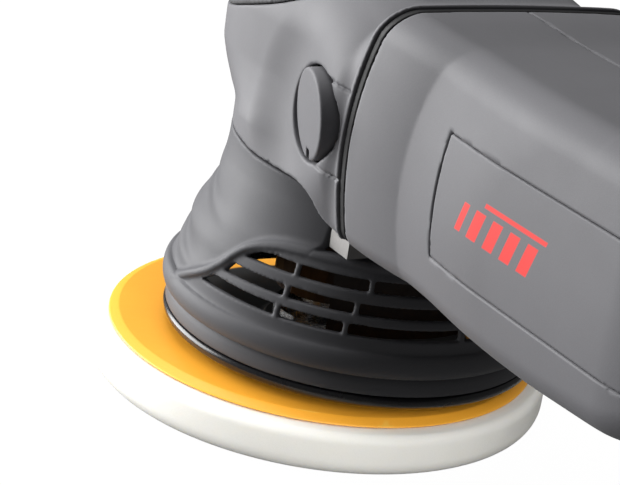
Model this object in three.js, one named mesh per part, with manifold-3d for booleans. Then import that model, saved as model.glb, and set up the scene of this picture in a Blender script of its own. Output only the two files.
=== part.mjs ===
// Dual action polisher with a 150 mm backing plate. Millimetres, +Z up.
// The origin is on the spindle axis at the underside of the backing plate.
// +X points to the rear handle, and the motor lies along X above the plate.

import * as THREE from "three";
import { mergeVertices } from "three/addons/utils/BufferGeometryUtils.js";
import Module from "manifold-3d";

const wasm = await Module();
wasm.setup();

// ---- Driving dimensions ----

const GAP = 0.3; // between fixed pieces that touch
const RUN = 0.3; // radial clearance of turning pieces
const WALL = 3; // plastic shells

// Sides of the round pieces: large covers, medium pieces, and shafts and bearings
const LARGE = 32;
const MEDIUM = 20;
const SMALL = 16;

// Backing plate and orbit
const PLATE_RADIUS = 75;
const ORBIT_OFFSET = 10.5; // half of the 21 mm orbit
const ORBIT_REST = THREE.MathUtils.degToRad(201);
const HOOK_THICKNESS = 1.6;
const HOOK_INSET = 4.5;
const CUSHION_TOP = 14;
const CORE_INSET = 5.1;
const CORE_BEVEL = 3.1;
const CORE_THICKNESS = 2;
const HUB_RADIUS = 20;
const HUB_HEIGHT = 1.7;
const PLATE_HOLE = 6.5;
const SCREW_RADIUS = 4; // M8 plate screw
const SCREW_HEAD_RADIUS = 6;
const SCREW_HEAD_HEIGHT = 6;
const SCREW_LENGTH = 22;

// Plate spindle and its bearings
const PLATE_SPINDLE_RADIUS = 7.6;
const PLATE_SPINDLE_TOP = 54;
const FLANGE_RADIUS = 17;
const FLANGE_HEIGHT = 4.7;
const ORBIT_BEARING_RADIUS = 14;
const ORBIT_BEARING_WIDTH = 10;
const ORBIT_BEARING_HEIGHTS = [32, 43.5];

// Counterweight
const WEIGHT_BOTTOM = 31;
const WEIGHT_TOP = 62.5;
const WEIGHT_RADIUS = 45;
const WEIGHT_SECTOR = [36, 56];
const WEIGHT_HALF_ANGLE = THREE.MathUtils.degToRad(64);
const WEIGHT_WALL = 4;

// Gear pair: the wheel is on the spindle, and the pinion on the motor shaft
const MOTOR_HEIGHT = 102;
const WHEEL_TEETH = 35;
const PINION_TEETH = 7;
const WHEEL_RADIUS = 24; // pitch radius at the large end
const TOOTH_WIDTH = 7.5;
const TOOTH_TIP = 0.62; // above the pitch cone
const TOOTH_ROOT = 0.95; // below the pitch cone
const TOOTH_TIP_SHARE = 0.2; // of one pitch
const TOOTH_ROOT_SHARE = 0.4;
const WHEEL_BOTTOM = 87;
const WHEEL_HUB_TOP = 95;

// Main spindle and its bearings
const SPINDLE_RADIUS = 7.7;
const SPINDLE_NECK = 6.7;
const SPINDLE_END = 5;
const SPINDLE_TOP = 119;
const LOWER_BEARING_RADIUS = 17.5;
const LOWER_BEARING = [72, 84];
const UPPER_BEARING_RADIUS = 13;
const UPPER_BEARING = [109.5, 118.5];

// Motor, along X
const SHAFT_RADIUS = 5;
const SHAFT_END = 189;
const FRONT_BEARING = [44.5, 54];
const REAR_BEARING = [180, 188];
const MOTOR_BEARING_RADIUS = 13;
const REAR_BEARING_RADIUS = 11;
const FAN = [64, 79];
const FAN_RADIUS = 27;
const FAN_BLADES = 11;
const STACK = [96, 144];
const STATOR_RADIUS = 31;
const STATOR_RING = 3.7;
const AIR_GAP = 0.6;
const ARMATURE_RADIUS = 20;
const ARMATURE_SLOTS = 12;
const WINDING_LENGTH = 7;
const WINDING_RADIUS = 16.5;
const COMMUTATOR = [154, 169];
const COMMUTATOR_RADIUS = 13;
const BRUSH_WIDTH = 6;
const BRUSH_HEIGHT = 8;
const BRUSH_LENGTH = 12;
const HOLDER_WALL = 1.8;
const HOLDER_END = 37;
const CAP_RADIUS = 6.5;

// Head and shroud
const HEAD_NOSE = 57.5;
const NECK_RADIUS = 46.5;
const HEAD_TAIL = 84;
const HEAD_TOP = 146;
const HEAD_SHOULDER = 122;
const SHROUD_BOTTOM = 23.9;
const RING_BOTTOM = 19.6;
const RING_RADIUS = 60.5;
const SLOT_DEPTH = 24;
const SLOT_TILT = THREE.MathUtils.degToRad(1);
const SLOT_HEIGHT = 3.6;
const PLUG_RADIUS = 13.4;
const PLUG_PLACE = [40.3, 102.5]; // x and z where the plugs' leaned axes meet
const PLUG_FACE = 47.4; // from there to the plug's face, along its axis
const PLUG_DEPTH = 11;
const PLUG_LEAN = THREE.MathUtils.degToRad(15);

// Seal between head and motor housing: an arc in side view
const SEAL_CENTRE = [148.6, 97];
const SEAL_RADIUS = 100;
const SEAL_WIDTH = 2.6;
const SEAL_STEPS = 8;

// Side panels
const PANEL = { front: 88, rear: 186, bottom: 85, top: 119, depth: 2 };

// Rear handle and its controls
const HANDLE_START = 215;
const HANDLE_END = 350;
const HANDLE_MIDDLE = 107;
const BEYOND = HANDLE_END + 50; // past the rear of the tool
const TRIGGER_PIVOT = [232, 93];
const TRIGGER_LENGTH = 52;
const TRIGGER_HALF_WIDTH = 8.5;
const BUTTON_RADIUS = 4.5;
const BUTTON_PLACE = [252, 107];
const DIAL_RADIUS = 12;
const DIAL_WIDTH = 7;
const DIAL_PLACE = [319, 121];
const INLET_RADIUS = 8;
const INLET_BORE = 4.2;
const CASE_SCREWS = [
  [202, 86],
  [202, 121],
  [296, 91],
  [296, 124],
];
const CASE_SCREW_RADIUS = 2;
const SCREW_SIDES = 10;
const BOSS_RADIUS = 4.8;

// ---- Solids ----

function solid(geometry) {
  const bare = geometry.clone();
  bare.deleteAttribute("normal");
  bare.deleteAttribute("uv");
  const merged = mergeVertices(bare, 1e-4);
  const vertProperties = new Float32Array(merged.attributes.position.array);
  const triVerts = new Uint32Array(merged.index.array);
  return new wasm.Manifold(new wasm.Mesh({ numProp: 3, vertProperties, triVerts }));
}

function geometryOf(body) {
  const mesh = body.getMesh();
  const geometry = new THREE.BufferGeometry();
  geometry.setAttribute("position", new THREE.BufferAttribute(new Float32Array(mesh.vertProperties), 3));
  geometry.setIndex(new THREE.BufferAttribute(new Uint32Array(mesh.triVerts), 1));
  geometry.computeVertexNormals();
  return geometry;
}

const join = (...bodies) => bodies.reduce((whole, body) => whole.add(body));
const cut = (body, ...tools) => tools.reduce((rest, tool) => rest.subtract(tool), body);

// Turns a closed [radius, height] profile about Z, or about X when lying.
function turned(profile, segments = SMALL, lying = false) {
  const points = profile.map(([r, h]) => new THREE.Vector2(r, h));
  const onAxis = profile[0][0] === 0 && profile[profile.length - 1][0] === 0;
  if (!onAxis) points.push(points[0].clone());
  let area = 0;
  profile.forEach(([r, h], i) => {
    const [nextR, nextH] = profile[(i + 1) % profile.length];
    area += r * nextH - nextR * h;
  });
  if (area < 0) points.reverse();
  const geometry = new THREE.LatheGeometry(points, segments);
  geometry.rotateX(Math.PI / 2);
  if (lying) geometry.rotateY(Math.PI / 2);
  return solid(geometry);
}

const ring = (inner, outer, from, to, segments, lying) =>
  turned([[inner, from], [outer, from], [outer, to], [inner, to]], segments, lying);

const rod = (radius, from, to, segments, lying) =>
  turned([[0, from], [radius, from], [radius, to], [0, to]], segments, lying);

function block(x, y, z) {
  const geometry = new THREE.BoxGeometry(x[1] - x[0], y[1] - y[0], z[1] - z[0]);
  geometry.translate((x[0] + x[1]) / 2, (y[0] + y[1]) / 2, (z[0] + z[1]) / 2);
  return solid(geometry);
}

// A rod along Y, or leaned about Z from it, from one distance to another.
function crossRod(radius, place, from, to, lean = 0, segments = SMALL) {
  const geometry = new THREE.CylinderGeometry(radius, radius, to - from, segments);
  geometry.translate(0, (from + to) / 2, 0);
  geometry.rotateZ(lean);
  geometry.translate(place[0], 0, place[1]);
  return solid(geometry);
}

// A side-view outline of [x, z] points, carried through the whole width or between two y values.
function sideSlab(outline, from = -90, to = 90) {
  const shape = new THREE.Shape(outline.map(([x, z]) => new THREE.Vector2(x, z)));
  const geometry = new THREE.ExtrudeGeometry(shape, { depth: to - from, bevelEnabled: false });
  geometry.rotateX(Math.PI / 2);
  geometry.translate(0, to, 0);
  return solid(geometry);
}

// Joins rings of equal point count into a closed body with flat ends.
function loft(rings) {
  const count = rings[0].length;
  const points = rings.flat();
  const faces = [];
  for (let r = 0; r + 1 < rings.length; r += 1) {
    for (let i = 0; i < count; i += 1) {
      const a = r * count + i;
      const b = r * count + ((i + 1) % count);
      faces.push([a, b, b + count], [a, b + count, a + count]);
    }
  }
  for (const [start, side] of [[0, 0], [(rings.length - 1) * count, 1]]) {
    const middle = new THREE.Vector3();
    points.slice(start, start + count).forEach((p) => middle.addScaledVector(p, 1 / count));
    points.push(middle);
    for (let i = 0; i < count; i += 1) {
      const a = start + i;
      const b = start + ((i + 1) % count);
      faces.push(side ? [a, b, points.length - 1] : [b, a, points.length - 1]);
    }
  }
  let volume = 0;
  for (const [a, b, c] of faces) {
    volume += points[a].dot(new THREE.Vector3().crossVectors(points[b], points[c]));
  }
  const index = faces.flatMap(([a, b, c]) => (volume > 0 ? [a, b, c] : [a, c, b]));
  const geometry = new THREE.BufferGeometry().setFromPoints(points);
  geometry.setIndex(index);
  return solid(geometry);
}

// Straight steps through [station, value, value...] rows.
function between(rows, at) {
  if (at <= rows[0][0]) return rows[0].slice(1);
  const next = rows.findIndex((row) => row[0] >= at);
  if (next < 0) return rows[rows.length - 1].slice(1);
  const [low, high] = [rows[next - 1], rows[next]];
  const share = (at - low[0]) / (high[0] - low[0]);
  return low.slice(1).map((value, i) => value + (high[i + 1] - value) * share);
}

const power = (value, exponent) => Math.sign(value) * Math.abs(value) ** exponent;

// ---- Outer forms ----

// Motor housing and handle: half width, top and bottom along X.
const CASE_ROWS = [
  [30, 41, 137, 73],
  [48, 41.5, 137.5, 72],
  [66, 42.3, 138.5, 69.5],
  [88, 44, 139.5, 67.5],
  [165, 44, 139.5, 67.5],
  [190, 39, 136.5, 73],
  [HANDLE_START, 30, 132, 81],
  [240, 26.5, 130, 84],
  [HANDLE_END - 30, 27.5, 130, 84],
  [HANDLE_END - 8, 25, 127.5, 87],
  [HANDLE_END, 19, 121, 94],
];
const CASE_SIDES = 24;
const CASE_MIDDLE = 103;
const CASE_CORNER = { above: 4.2, below: 2.7 };

function caseRing(x, inset) {
  const [half, top, bottom] = between(CASE_ROWS, x);
  const middle = x > HANDLE_START ? HANDLE_MIDDLE : CASE_MIDDLE;
  const points = [];
  for (let i = 0; i < CASE_SIDES; i += 1) {
    const angle = (i / CASE_SIDES) * 2 * Math.PI;
    const rise = Math.sin(angle) >= 0 ? top - middle : middle - bottom;
    const corner = Math.sin(angle) >= 0 ? CASE_CORNER.above : CASE_CORNER.below;
    const y = (half - inset) * power(Math.cos(angle), 2 / corner);
    const z = middle + (rise - inset) * power(Math.sin(angle), 2 / corner);
    points.push(new THREE.Vector3(x, y, z));
  }
  return points;
}

function caseBody(inset, from, to) {
  const inside = CASE_ROWS.map((row) => row[0]).filter((x) => x > from && x < to);
  return loft([from, ...inside, to].map((x) => caseRing(x, inset)));
}

// Head: nose length, half width and corner power up the height.
const HEAD_ROWS = [
  [58, NECK_RADIUS, NECK_RADIUS, 2],
  [90, NECK_RADIUS, NECK_RADIUS, 2],
  [95.6, HEAD_NOSE - 6.5, NECK_RADIUS, 2.2],
  [101.7, HEAD_NOSE - 2, NECK_RADIUS, 2.4],
  [HEAD_SHOULDER, HEAD_NOSE, NECK_RADIUS, 2.5],
];
const HEAD_SIDES = 24;
const HEAD_DOME_STEPS = 4;

function planRing(z, nose, tail, half, corner) {
  const points = [];
  for (let i = 0; i < HEAD_SIDES; i += 1) {
    const angle = (i / HEAD_SIDES) * 2 * Math.PI;
    const reach = Math.cos(angle) < 0 ? nose : tail;
    const x = reach * power(Math.cos(angle), 2 / corner);
    const y = half * power(Math.sin(angle), 2 / corner);
    points.push(new THREE.Vector3(x, y, z));
  }
  return points;
}

function headBody(inset) {
  const rings = HEAD_ROWS.map(([z, nose, half, corner]) =>
    planRing(z, nose - inset, HEAD_TAIL, half - inset, corner),
  );
  const height = HEAD_TOP - inset - HEAD_SHOULDER;
  for (let i = 1; i <= HEAD_DOME_STEPS; i += 1) {
    const turn = (i / HEAD_DOME_STEPS) * 0.46 * Math.PI;
    const share = Math.cos(turn) ** 0.72;
    const z = HEAD_SHOULDER + height * Math.sin(turn);
    rings.push(planRing(z, (HEAD_NOSE - inset) * share, HEAD_TAIL, (NECK_RADIUS - inset) * share, 2.5));
  }
  return loft(rings);
}

// Shroud: [radius, height] from the lower edge up to the neck.
const SHROUD_PROFILE = [
  [59.8, SHROUD_BOTTOM],
  [60.4, SHROUD_BOTTOM + 1.5],
  [60.2, 30],
  [62, 31.5],
  [62, 36.2],
  [59.3, 38.6],
  [58.4, 43],
  [56.4, 49],
  [54.4, 56],
  [50.8, 62.8],
  [48.4, 71],
  [46.9, 80],
  [NECK_RADIUS, 90],
];
const VENT_BOTTOM = 36;
const VENT_PROFILE = [
  [61, VENT_BOTTOM],
  [60.8, 42],
  [58.9, 50],
  [56.6, 57],
  [53.4, 62.5],
  [50.5, 66.5],
];

const SHROUD_HOLLOW = [
  [57, SHROUD_BOTTOM - 1],
  [57.8, 31],
  [57.8, 36],
  [55.6, 40],
  [52.8, 50],
  [50.4, 56.5],
  [46.8, 63],
  [NECK_RADIUS - WALL, 72],
  [NECK_RADIUS - WALL, 91],
];

function roundBody(profile, inset = 0) {
  const outline = profile.map(([r, z]) => [r - inset, z]);
  return turned([[0, outline[0][1]], ...outline, [0, outline[outline.length - 1][1]]], LARGE);
}

// Side-view curves: the seam of head and shroud, the vent panel's arch and the palm cap's edge.
const SEAM = [
  [-70, 86],
  [-21, 83.3],
  [-7, 82.5],
  [3.6, 81],
  [11, 79.6],
  [20.4, 78.9],
  [26.5, 76.2],
  [29.8, 71.9],
  [32.3, 66.5],
  [34.2, 62.5],
  [70, 62.5],
];
const ARCH = [
  [-14, VENT_BOTTOM],
  [-4, 41.8],
  [6, 47.6],
  [10.8, 52],
  [15.1, 57],
  [18.1, 59.5],
  [21.5, 61.2],
  [27.6, 62],
  [70, 62],
  [70, VENT_BOTTOM],
];
const CAP_EDGE = [
  [-70, 113],
  [-40, 116],
  [-20, 121],
  [4, 129],
  [18, 137],
  [23, 150],
];
const aboveSeam = (lift) =>
  sideSlab([...SEAM.map(([x, z]) => [x + lift, z + lift]), [70, 170], [-70 + lift, 170]]);
const capRegion = (lift) => sideSlab([...CAP_EDGE.map(([x, z]) => [x - lift, z + lift]), [20, 170], [-70, 170]]);

function sealArc(radius) {
  const points = [];
  for (let i = 0; i <= SEAL_STEPS; i += 1) {
    const angle = Math.PI - 0.5 + i / SEAL_STEPS;
    points.push([SEAL_CENTRE[0] + radius * Math.cos(angle), SEAL_CENTRE[1] + radius * Math.sin(angle)]);
  }
  return points;
}
const behindSeal = (radius) => sideSlab([...sealArc(radius), [BEYOND, 49], [BEYOND, 145]]);

// ---- Backing plate ----

const plateHubTop = CUSHION_TOP + GAP + CORE_THICKNESS + HUB_HEIGHT;

function hookFace() {
  return ring(PLATE_HOLE, PLATE_RADIUS - HOOK_INSET, 0, HOOK_THICKNESS, LARGE);
}

function cushion() {
  const bottom = HOOK_THICKNESS + GAP;
  const outline = [[PLATE_HOLE + 2.5, bottom], [PLATE_RADIUS - 4, bottom], [PLATE_RADIUS - 1.4, bottom + 1.2]];
  outline.push([PLATE_RADIUS, bottom + 3.7], [PLATE_RADIUS, CUSHION_TOP - 1.8]);
  outline.push([PLATE_RADIUS - 1, CUSHION_TOP - 0.4], [PLATE_RADIUS - 2.5, CUSHION_TOP]);
  outline.push([PLATE_HOLE + 2.5, CUSHION_TOP]);
  return turned(outline, LARGE);
}

function plateCore() {
  const bottom = CUSHION_TOP + GAP;
  const edge = PLATE_RADIUS - CORE_INSET;
  const hole = SCREW_RADIUS + GAP;
  const outline = [[hole, bottom], [edge, bottom], [edge, bottom + 0.6], [edge - CORE_BEVEL, bottom + CORE_THICKNESS]];
  outline.push([HUB_RADIUS, bottom + CORE_THICKNESS], [HUB_RADIUS - 1, plateHubTop], [hole, plateHubTop]);
  return turned(outline, LARGE);
}

function plateSpindle() {
  const bottom = plateHubTop + GAP;
  const bore = SCREW_RADIUS + GAP;
  const boreTop = CUSHION_TOP + SCREW_LENGTH + 2;
  const outline = [[0, boreTop], [bore, boreTop], [bore, bottom], [FLANGE_RADIUS, bottom]];
  outline.push([FLANGE_RADIUS, bottom + FLANGE_HEIGHT], [PLATE_SPINDLE_RADIUS, bottom + FLANGE_HEIGHT + 1]);
  outline.push([PLATE_SPINDLE_RADIUS, PLATE_SPINDLE_TOP], [0, PLATE_SPINDLE_TOP]);
  return turned(outline);
}

function plateScrew() {
  const seat = CUSHION_TOP;
  const head = seat - SCREW_HEAD_HEIGHT;
  const socket = 2.6;
  const outline = [[0, head + 3], [socket, head + 3], [socket, head], [SCREW_HEAD_RADIUS, head]];
  outline.push([SCREW_HEAD_RADIUS, seat], [SCREW_RADIUS, seat], [SCREW_RADIUS, seat + SCREW_LENGTH]);
  outline.push([0, seat + SCREW_LENGTH]);
  return turned(outline, SMALL);
}

// ---- Main spindle ----

const plateCentre = [ORBIT_OFFSET * Math.cos(ORBIT_REST), ORBIT_OFFSET * Math.sin(ORBIT_REST), 0];
const eccentricTop = PLATE_SPINDLE_TOP + 1;

function counterweight() {
  const socket = ORBIT_BEARING_RADIUS + GAP;
  const boss = rod(socket + WEIGHT_WALL, WEIGHT_BOTTOM, WEIGHT_TOP, MEDIUM).translate(plateCentre);
  const seat = rod(SPINDLE_RADIUS + GAP + WEIGHT_WALL + 3, eccentricTop, WEIGHT_TOP, MEDIUM);
  const shape = new THREE.Shape();
  shape.moveTo(0, 0);
  const away = ORBIT_REST + Math.PI;
  shape.absarc(0, 0, WEIGHT_RADIUS, away - WEIGHT_HALF_ANGLE, away + WEIGHT_HALF_ANGLE, false);
  shape.lineTo(0, 0);
  const depth = WEIGHT_SECTOR[1] - WEIGHT_SECTOR[0];
  const sector = new THREE.ExtrudeGeometry(shape, { depth, bevelEnabled: false, curveSegments: 20 });
  sector.translate(0, 0, WEIGHT_SECTOR[0]);
  const eccentricBore = rod(socket, WEIGHT_BOTTOM - 1, eccentricTop, MEDIUM).translate(plateCentre);
  const spindleBore = rod(SPINDLE_RADIUS + GAP, eccentricTop + 1, WEIGHT_TOP + 1, SMALL);
  return cut(join(boss, seat, solid(sector)), eccentricBore, spindleBore);
}

function spindleShaft() {
  const foot = eccentricTop + 1 + GAP;
  const collar = LOWER_BEARING[1] + 1;
  const neckTop = MOTOR_HEIGHT + 4;
  const outline = [[0, foot], [SPINDLE_RADIUS, foot], [SPINDLE_RADIUS, collar], [SPINDLE_RADIUS + 2, collar]];
  outline.push([SPINDLE_RADIUS + 2, WHEEL_BOTTOM - GAP], [SPINDLE_NECK, WHEEL_BOTTOM - GAP]);
  outline.push([SPINDLE_NECK, neckTop], [SPINDLE_END, neckTop + 1], [SPINDLE_END, SPINDLE_TOP], [0, SPINDLE_TOP]);
  return turned(outline);
}

// ---- Bevel gears: every tooth face is a cone through the point where the two axes meet ----

const pitchSlope = PINION_TEETH / WHEEL_TEETH;

function toothedBody(teeth, rowsAt) {
  const rings = [];
  const halfTip = TOOTH_TIP_SHARE / 2;
  const halfRoot = TOOTH_ROOT_SHARE / 2;
  const corners = [[-halfTip, true], [halfTip, true], [0.5 - halfRoot, false], [0.5 + halfRoot, false]];
  const steps = [];
  for (let tooth = 0; tooth < teeth; tooth += 1) {
    corners.forEach(([share, tip]) => steps.push([((tooth + share) * 2 * Math.PI) / teeth, tip]));
  }
  const levels = rowsAt(true).length;
  for (let level = 0; level < levels; level += 1) {
    rings.push(
      steps.map(([angle, tip]) => {
        const [radius, height] = rowsAt(tip)[level];
        return new THREE.Vector3(radius * Math.cos(angle), radius * Math.sin(angle), height);
      }),
    );
  }
  return rings;
}

function bevelWheel() {
  const inner = WHEEL_RADIUS - TOOTH_WIDTH;
  const rows = (tip) => {
    const slope = pitchSlope + (tip ? -TOOTH_TIP : TOOTH_ROOT) / WHEEL_RADIUS;
    return [
      [WHEEL_RADIUS - 4, WHEEL_BOTTOM],
      [WHEEL_RADIUS, WHEEL_BOTTOM + 4],
      [WHEEL_RADIUS, MOTOR_HEIGHT - slope * WHEEL_RADIUS],
      [inner, MOTOR_HEIGHT - slope * inner],
      [inner - 1.5, WHEEL_HUB_TOP],
    ];
  };
  const toothed = loft(toothedBody(WHEEL_TEETH, rows));
  return cut(toothed, rod(SPINDLE_NECK + GAP, WHEEL_BOTTOM - 1, WHEEL_HUB_TOP + 1, SMALL));
}

function bevelPinion() {
  const inner = WHEEL_RADIUS - TOOTH_WIDTH;
  const rows = (tip) => {
    const slope = pitchSlope + (tip ? TOOTH_TIP : -TOOTH_ROOT) / WHEEL_RADIUS;
    const hub = SHAFT_RADIUS - 0.8;
    return [
      [slope * (inner + GAP), inner + GAP],
      [slope * (WHEEL_RADIUS - GAP), WHEEL_RADIUS - GAP],
      [hub, WHEEL_RADIUS + 1],
      [hub, WHEEL_RADIUS + 10],
    ];
  };
  const half = Math.PI / PINION_TEETH;
  return loft(toothedBody(PINION_TEETH, rows)).rotate([0, 90, 0]).rotate([(half * 180) / Math.PI, 0, 0]);
}

// ---- Motor ----

function motorShaft() {
  const start = WHEEL_RADIUS + 10 + GAP;
  const outline = [[0, start], [SHAFT_RADIUS, start], [SHAFT_RADIUS, SHAFT_END], [0, SHAFT_END]];
  return turned(outline, SMALL, true);
}

function armatureCore() {
  const length = STACK[1] - STACK[0];
  const shape = new THREE.Shape();
  for (let slot = 0; slot < ARMATURE_SLOTS; slot += 1) {
    const pitch = (2 * Math.PI) / ARMATURE_SLOTS;
    const middle = slot * pitch;
    shape.absarc(0, 0, ARMATURE_RADIUS, middle - pitch * 0.38, middle + pitch * 0.38, false);
    shape.absarc(0, 0, ARMATURE_RADIUS - 5, middle + pitch * 0.44, middle + pitch * 0.56, false);
  }
  const geometry = new THREE.ExtrudeGeometry(shape, { depth: length, bevelEnabled: false, curveSegments: 2 });
  geometry.translate(0, 0, STACK[0]);
  geometry.rotateY(Math.PI / 2);
  return cut(solid(geometry), rod(SHAFT_RADIUS + GAP, STACK[0] - 1, STACK[1] + 1, SMALL, true));
}

function winding(from, to) {
  const inner = SHAFT_RADIUS + GAP;
  const outline = [[inner, from], [WINDING_RADIUS - 3, from], [WINDING_RADIUS, (from + to) / 2]];
  outline.push([WINDING_RADIUS - 3, to], [inner, to]);
  return turned(outline, SMALL, true);
}

function commutator() {
  const inner = SHAFT_RADIUS + GAP;
  const [from, to] = COMMUTATOR;
  const outline = [[inner, from], [COMMUTATOR_RADIUS + 1.4, from], [COMMUTATOR_RADIUS + 1.4, from + 2]];
  outline.push([COMMUTATOR_RADIUS, from + 2.4], [COMMUTATOR_RADIUS, to], [inner, to]);
  return turned(outline, SMALL, true);
}

function coolingFan() {
  const [from, to] = FAN;
  const hub = ring(SHAFT_RADIUS + GAP, SHAFT_RADIUS + 4, from, to, SMALL, true);
  const disc = ring(SHAFT_RADIUS + 2, FAN_RADIUS, to - 2, to, MEDIUM, true);
  const blades = [];
  for (let blade = 0; blade < FAN_BLADES; blade += 1) {
    const geometry = new THREE.BoxGeometry(to - from - 2, FAN_RADIUS - 14, 1.4);
    geometry.translate((from + to) / 2, FAN_RADIUS / 2 + 6, 0);
    geometry.rotateX((blade * 2 * Math.PI) / FAN_BLADES);
    blades.push(solid(geometry));
  }
  return join(hub, disc, ...blades);
}

// A sector of a tube about X, centred on the angle from +Z.
function tubeSector(inner, outer, halfAngle, from, to, middle) {
  const shape = new THREE.Shape();
  shape.absarc(0, 0, outer, -halfAngle, halfAngle, false);
  shape.absarc(0, 0, inner, halfAngle, -halfAngle, true);
  const geometry = new THREE.ExtrudeGeometry(shape, { depth: to - from, bevelEnabled: false, curveSegments: 8 });
  geometry.translate(0, 0, from);
  geometry.rotateY(Math.PI / 2);
  geometry.rotateX(middle);
  return solid(geometry);
}

const POLE_HALF = THREE.MathUtils.degToRad(32);
const COIL_HALF = THREE.MathUtils.degToRad(62);
const poleInner = ARMATURE_RADIUS + AIR_GAP;
const ringInner = STATOR_RADIUS - STATOR_RING;
const POLES = [0, Math.PI];

function statorCore() {
  const yoke = ring(ringInner, STATOR_RADIUS, STACK[0], STACK[1], MEDIUM, true);
  const poles = POLES.map((turn) => tubeSector(poleInner, ringInner + 1, POLE_HALF, STACK[0], STACK[1], turn));
  return join(yoke, ...poles);
}

function fieldCoil(turn) {
  const outer = ringInner - 0.5;
  const gap = GAP / poleInner;
  const body = tubeSector(poleInner + 0.6, outer, COIL_HALF, STACK[0] - WINDING_LENGTH, STACK[1] + WINDING_LENGTH, turn);
  const window = tubeSector(poleInner - 1, outer + 2, POLE_HALF + gap, STACK[0] - GAP, STACK[1] + GAP, turn);
  return cut(body, window);
}

const brushX = (COMMUTATOR[0] + COMMUTATOR[1]) / 2 + 1;
const sided = (side, from, to) => (side > 0 ? [from, to] : [-to, -from]);

function brushHolder(side) {
  const start = COMMUTATOR_RADIUS + 2.5;
  const half = [BRUSH_WIDTH / 2 + GAP, BRUSH_HEIGHT / 2 + GAP];
  const outer = block(
    [brushX - half[0] - HOLDER_WALL, brushX + half[0] + HOLDER_WALL],
    sided(side, start, HOLDER_END),
    [MOTOR_HEIGHT - half[1] - HOLDER_WALL, MOTOR_HEIGHT + half[1] + HOLDER_WALL],
  );
  const hole = block(
    [brushX - half[0], brushX + half[0]],
    sided(side, start - 1, HOLDER_END + 1),
    [MOTOR_HEIGHT - half[1], MOTOR_HEIGHT + half[1]],
  );
  return cut(outer, hole);
}

function carbonBrush(side) {
  const start = COMMUTATOR_RADIUS + GAP;
  return block(
    [brushX - BRUSH_WIDTH / 2, brushX + BRUSH_WIDTH / 2],
    sided(side, start, start + BRUSH_LENGTH),
    [MOTOR_HEIGHT - BRUSH_HEIGHT / 2, MOTOR_HEIGHT + BRUSH_HEIGHT / 2],
  );
}

function brushSpring(side) {
  const start = COMMUTATOR_RADIUS + GAP + BRUSH_LENGTH + 1;
  const end = HOLDER_END - 0.8;
  const turns = 4;
  const points = [];
  for (let i = 0; i <= turns * 8; i += 1) {
    const angle = (i / 8) * 2 * Math.PI;
    const y = start + ((end - start) * i) / (turns * 8);
    points.push(new THREE.Vector3(brushX + 2.2 * Math.cos(angle), side * y, MOTOR_HEIGHT + 2.2 * Math.sin(angle)));
  }
  const wire = new THREE.Shape();
  wire.absarc(0, 0, 0.5, 0, 2 * Math.PI, false);
  const path = new THREE.CatmullRomCurve3(points);
  const options = { steps: turns * 8, bevelEnabled: false, extrudePath: path, curveSegments: 2 };
  return solid(new THREE.ExtrudeGeometry(wire, options));
}

function brushCap(side) {
  const from = HOLDER_END + GAP;
  const body = crossRod(CAP_RADIUS, [brushX, MOTOR_HEIGHT], ...sided(side, from, from + 3.6));
  const slot = block(
    [brushX - 4, brushX + 4],
    sided(side, from + 2.4, from + 5),
    [MOTOR_HEIGHT - 0.7, MOTOR_HEIGHT + 0.7],
  );
  return cut(body, slot);
}

function rearBracket() {
  const [from, to] = REAR_BEARING;
  const cup = ring(REAR_BEARING_RADIUS + GAP, REAR_BEARING_RADIUS + 3, from - 1, to + 1, SMALL, true);
  const back = ring(SHAFT_RADIUS + 2, REAR_BEARING_RADIUS + 3, to + 0.8, to + 3, SMALL, true);
  const arms = block([to, to + 3], [-31, 31], [-6, 6]);
  const clear = rod(REAR_BEARING_RADIUS + 1, from - 2, to + 3.5, SMALL, true);
  return join(cup, back, cut(arms, clear));
}

function fanBaffle() {
  const from = FAN[1] + 2;
  const outline = [[SHAFT_RADIUS + 9, from], [FAN_RADIUS + 2.5, from], [FAN_RADIUS + 2.5, from + 5]];
  outline.push([FAN_RADIUS + 0.7, from + 5], [FAN_RADIUS - 1, from + 2], [SHAFT_RADIUS + 9, from + 2]);
  return turned(outline, MEDIUM, true);
}

// ---- Gear case ----

function gearCase() {
  const z = MOTOR_HEIGHT;
  const tower = rod(31, 64, SPINDLE_TOP + 5, MEDIUM);
  const flange = rod(NECK_RADIUS - WALL - 1.5, 64, 71, MEDIUM);
  const neck = rod(26.5, 0, 60, MEDIUM, true).translate([0, 0, z]);
  const foot = join(block([20, 37], [-29, 29], [64, 70]), block([34.8, 45], [-35.5, 35.5], [64, 70]));
  const bosses = [1, -1].map((side) =>
    crossRod(11, [PLUG_PLACE[0], PLUG_PLACE[1]], ...sided(side, 20, PLUG_FACE - PLUG_DEPTH - 1), side * PLUG_LEAN),
  );
  const threads = [1, -1].map((side) =>
    crossRod(5.2, [PLUG_PLACE[0], PLUG_PLACE[1]], ...sided(side, 28, PLUG_FACE), side * PLUG_LEAN, 16),
  );
  const wheelRoom = rod(WHEEL_RADIUS + 2, LOWER_BEARING[1] + 1.5, z + 6.5, MEDIUM);
  const lowerSeat = rod(LOWER_BEARING_RADIUS + GAP, 60, LOWER_BEARING[1] + GAP, MEDIUM);
  const throat = rod(LOWER_BEARING_RADIUS - 3, 60, z, SMALL);
  const upperSeat = rod(UPPER_BEARING_RADIUS + GAP, z, UPPER_BEARING[1] + 1, SMALL);
  const pinionRoom = rod(10.5, 10, 62, SMALL, true).translate([0, 0, z]);
  const frontSeat = rod(MOTOR_BEARING_RADIUS + GAP, FRONT_BEARING[0] - GAP, 62, SMALL, true).translate([0, 0, z]);
  const body = join(tower, flange, neck, foot, ...bosses);
  return cut(body, ...threads, wheelRoom, lowerSeat, throat, upperSeat, pinionRoom, frontSeat);
}

// ---- Casings ----

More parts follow.
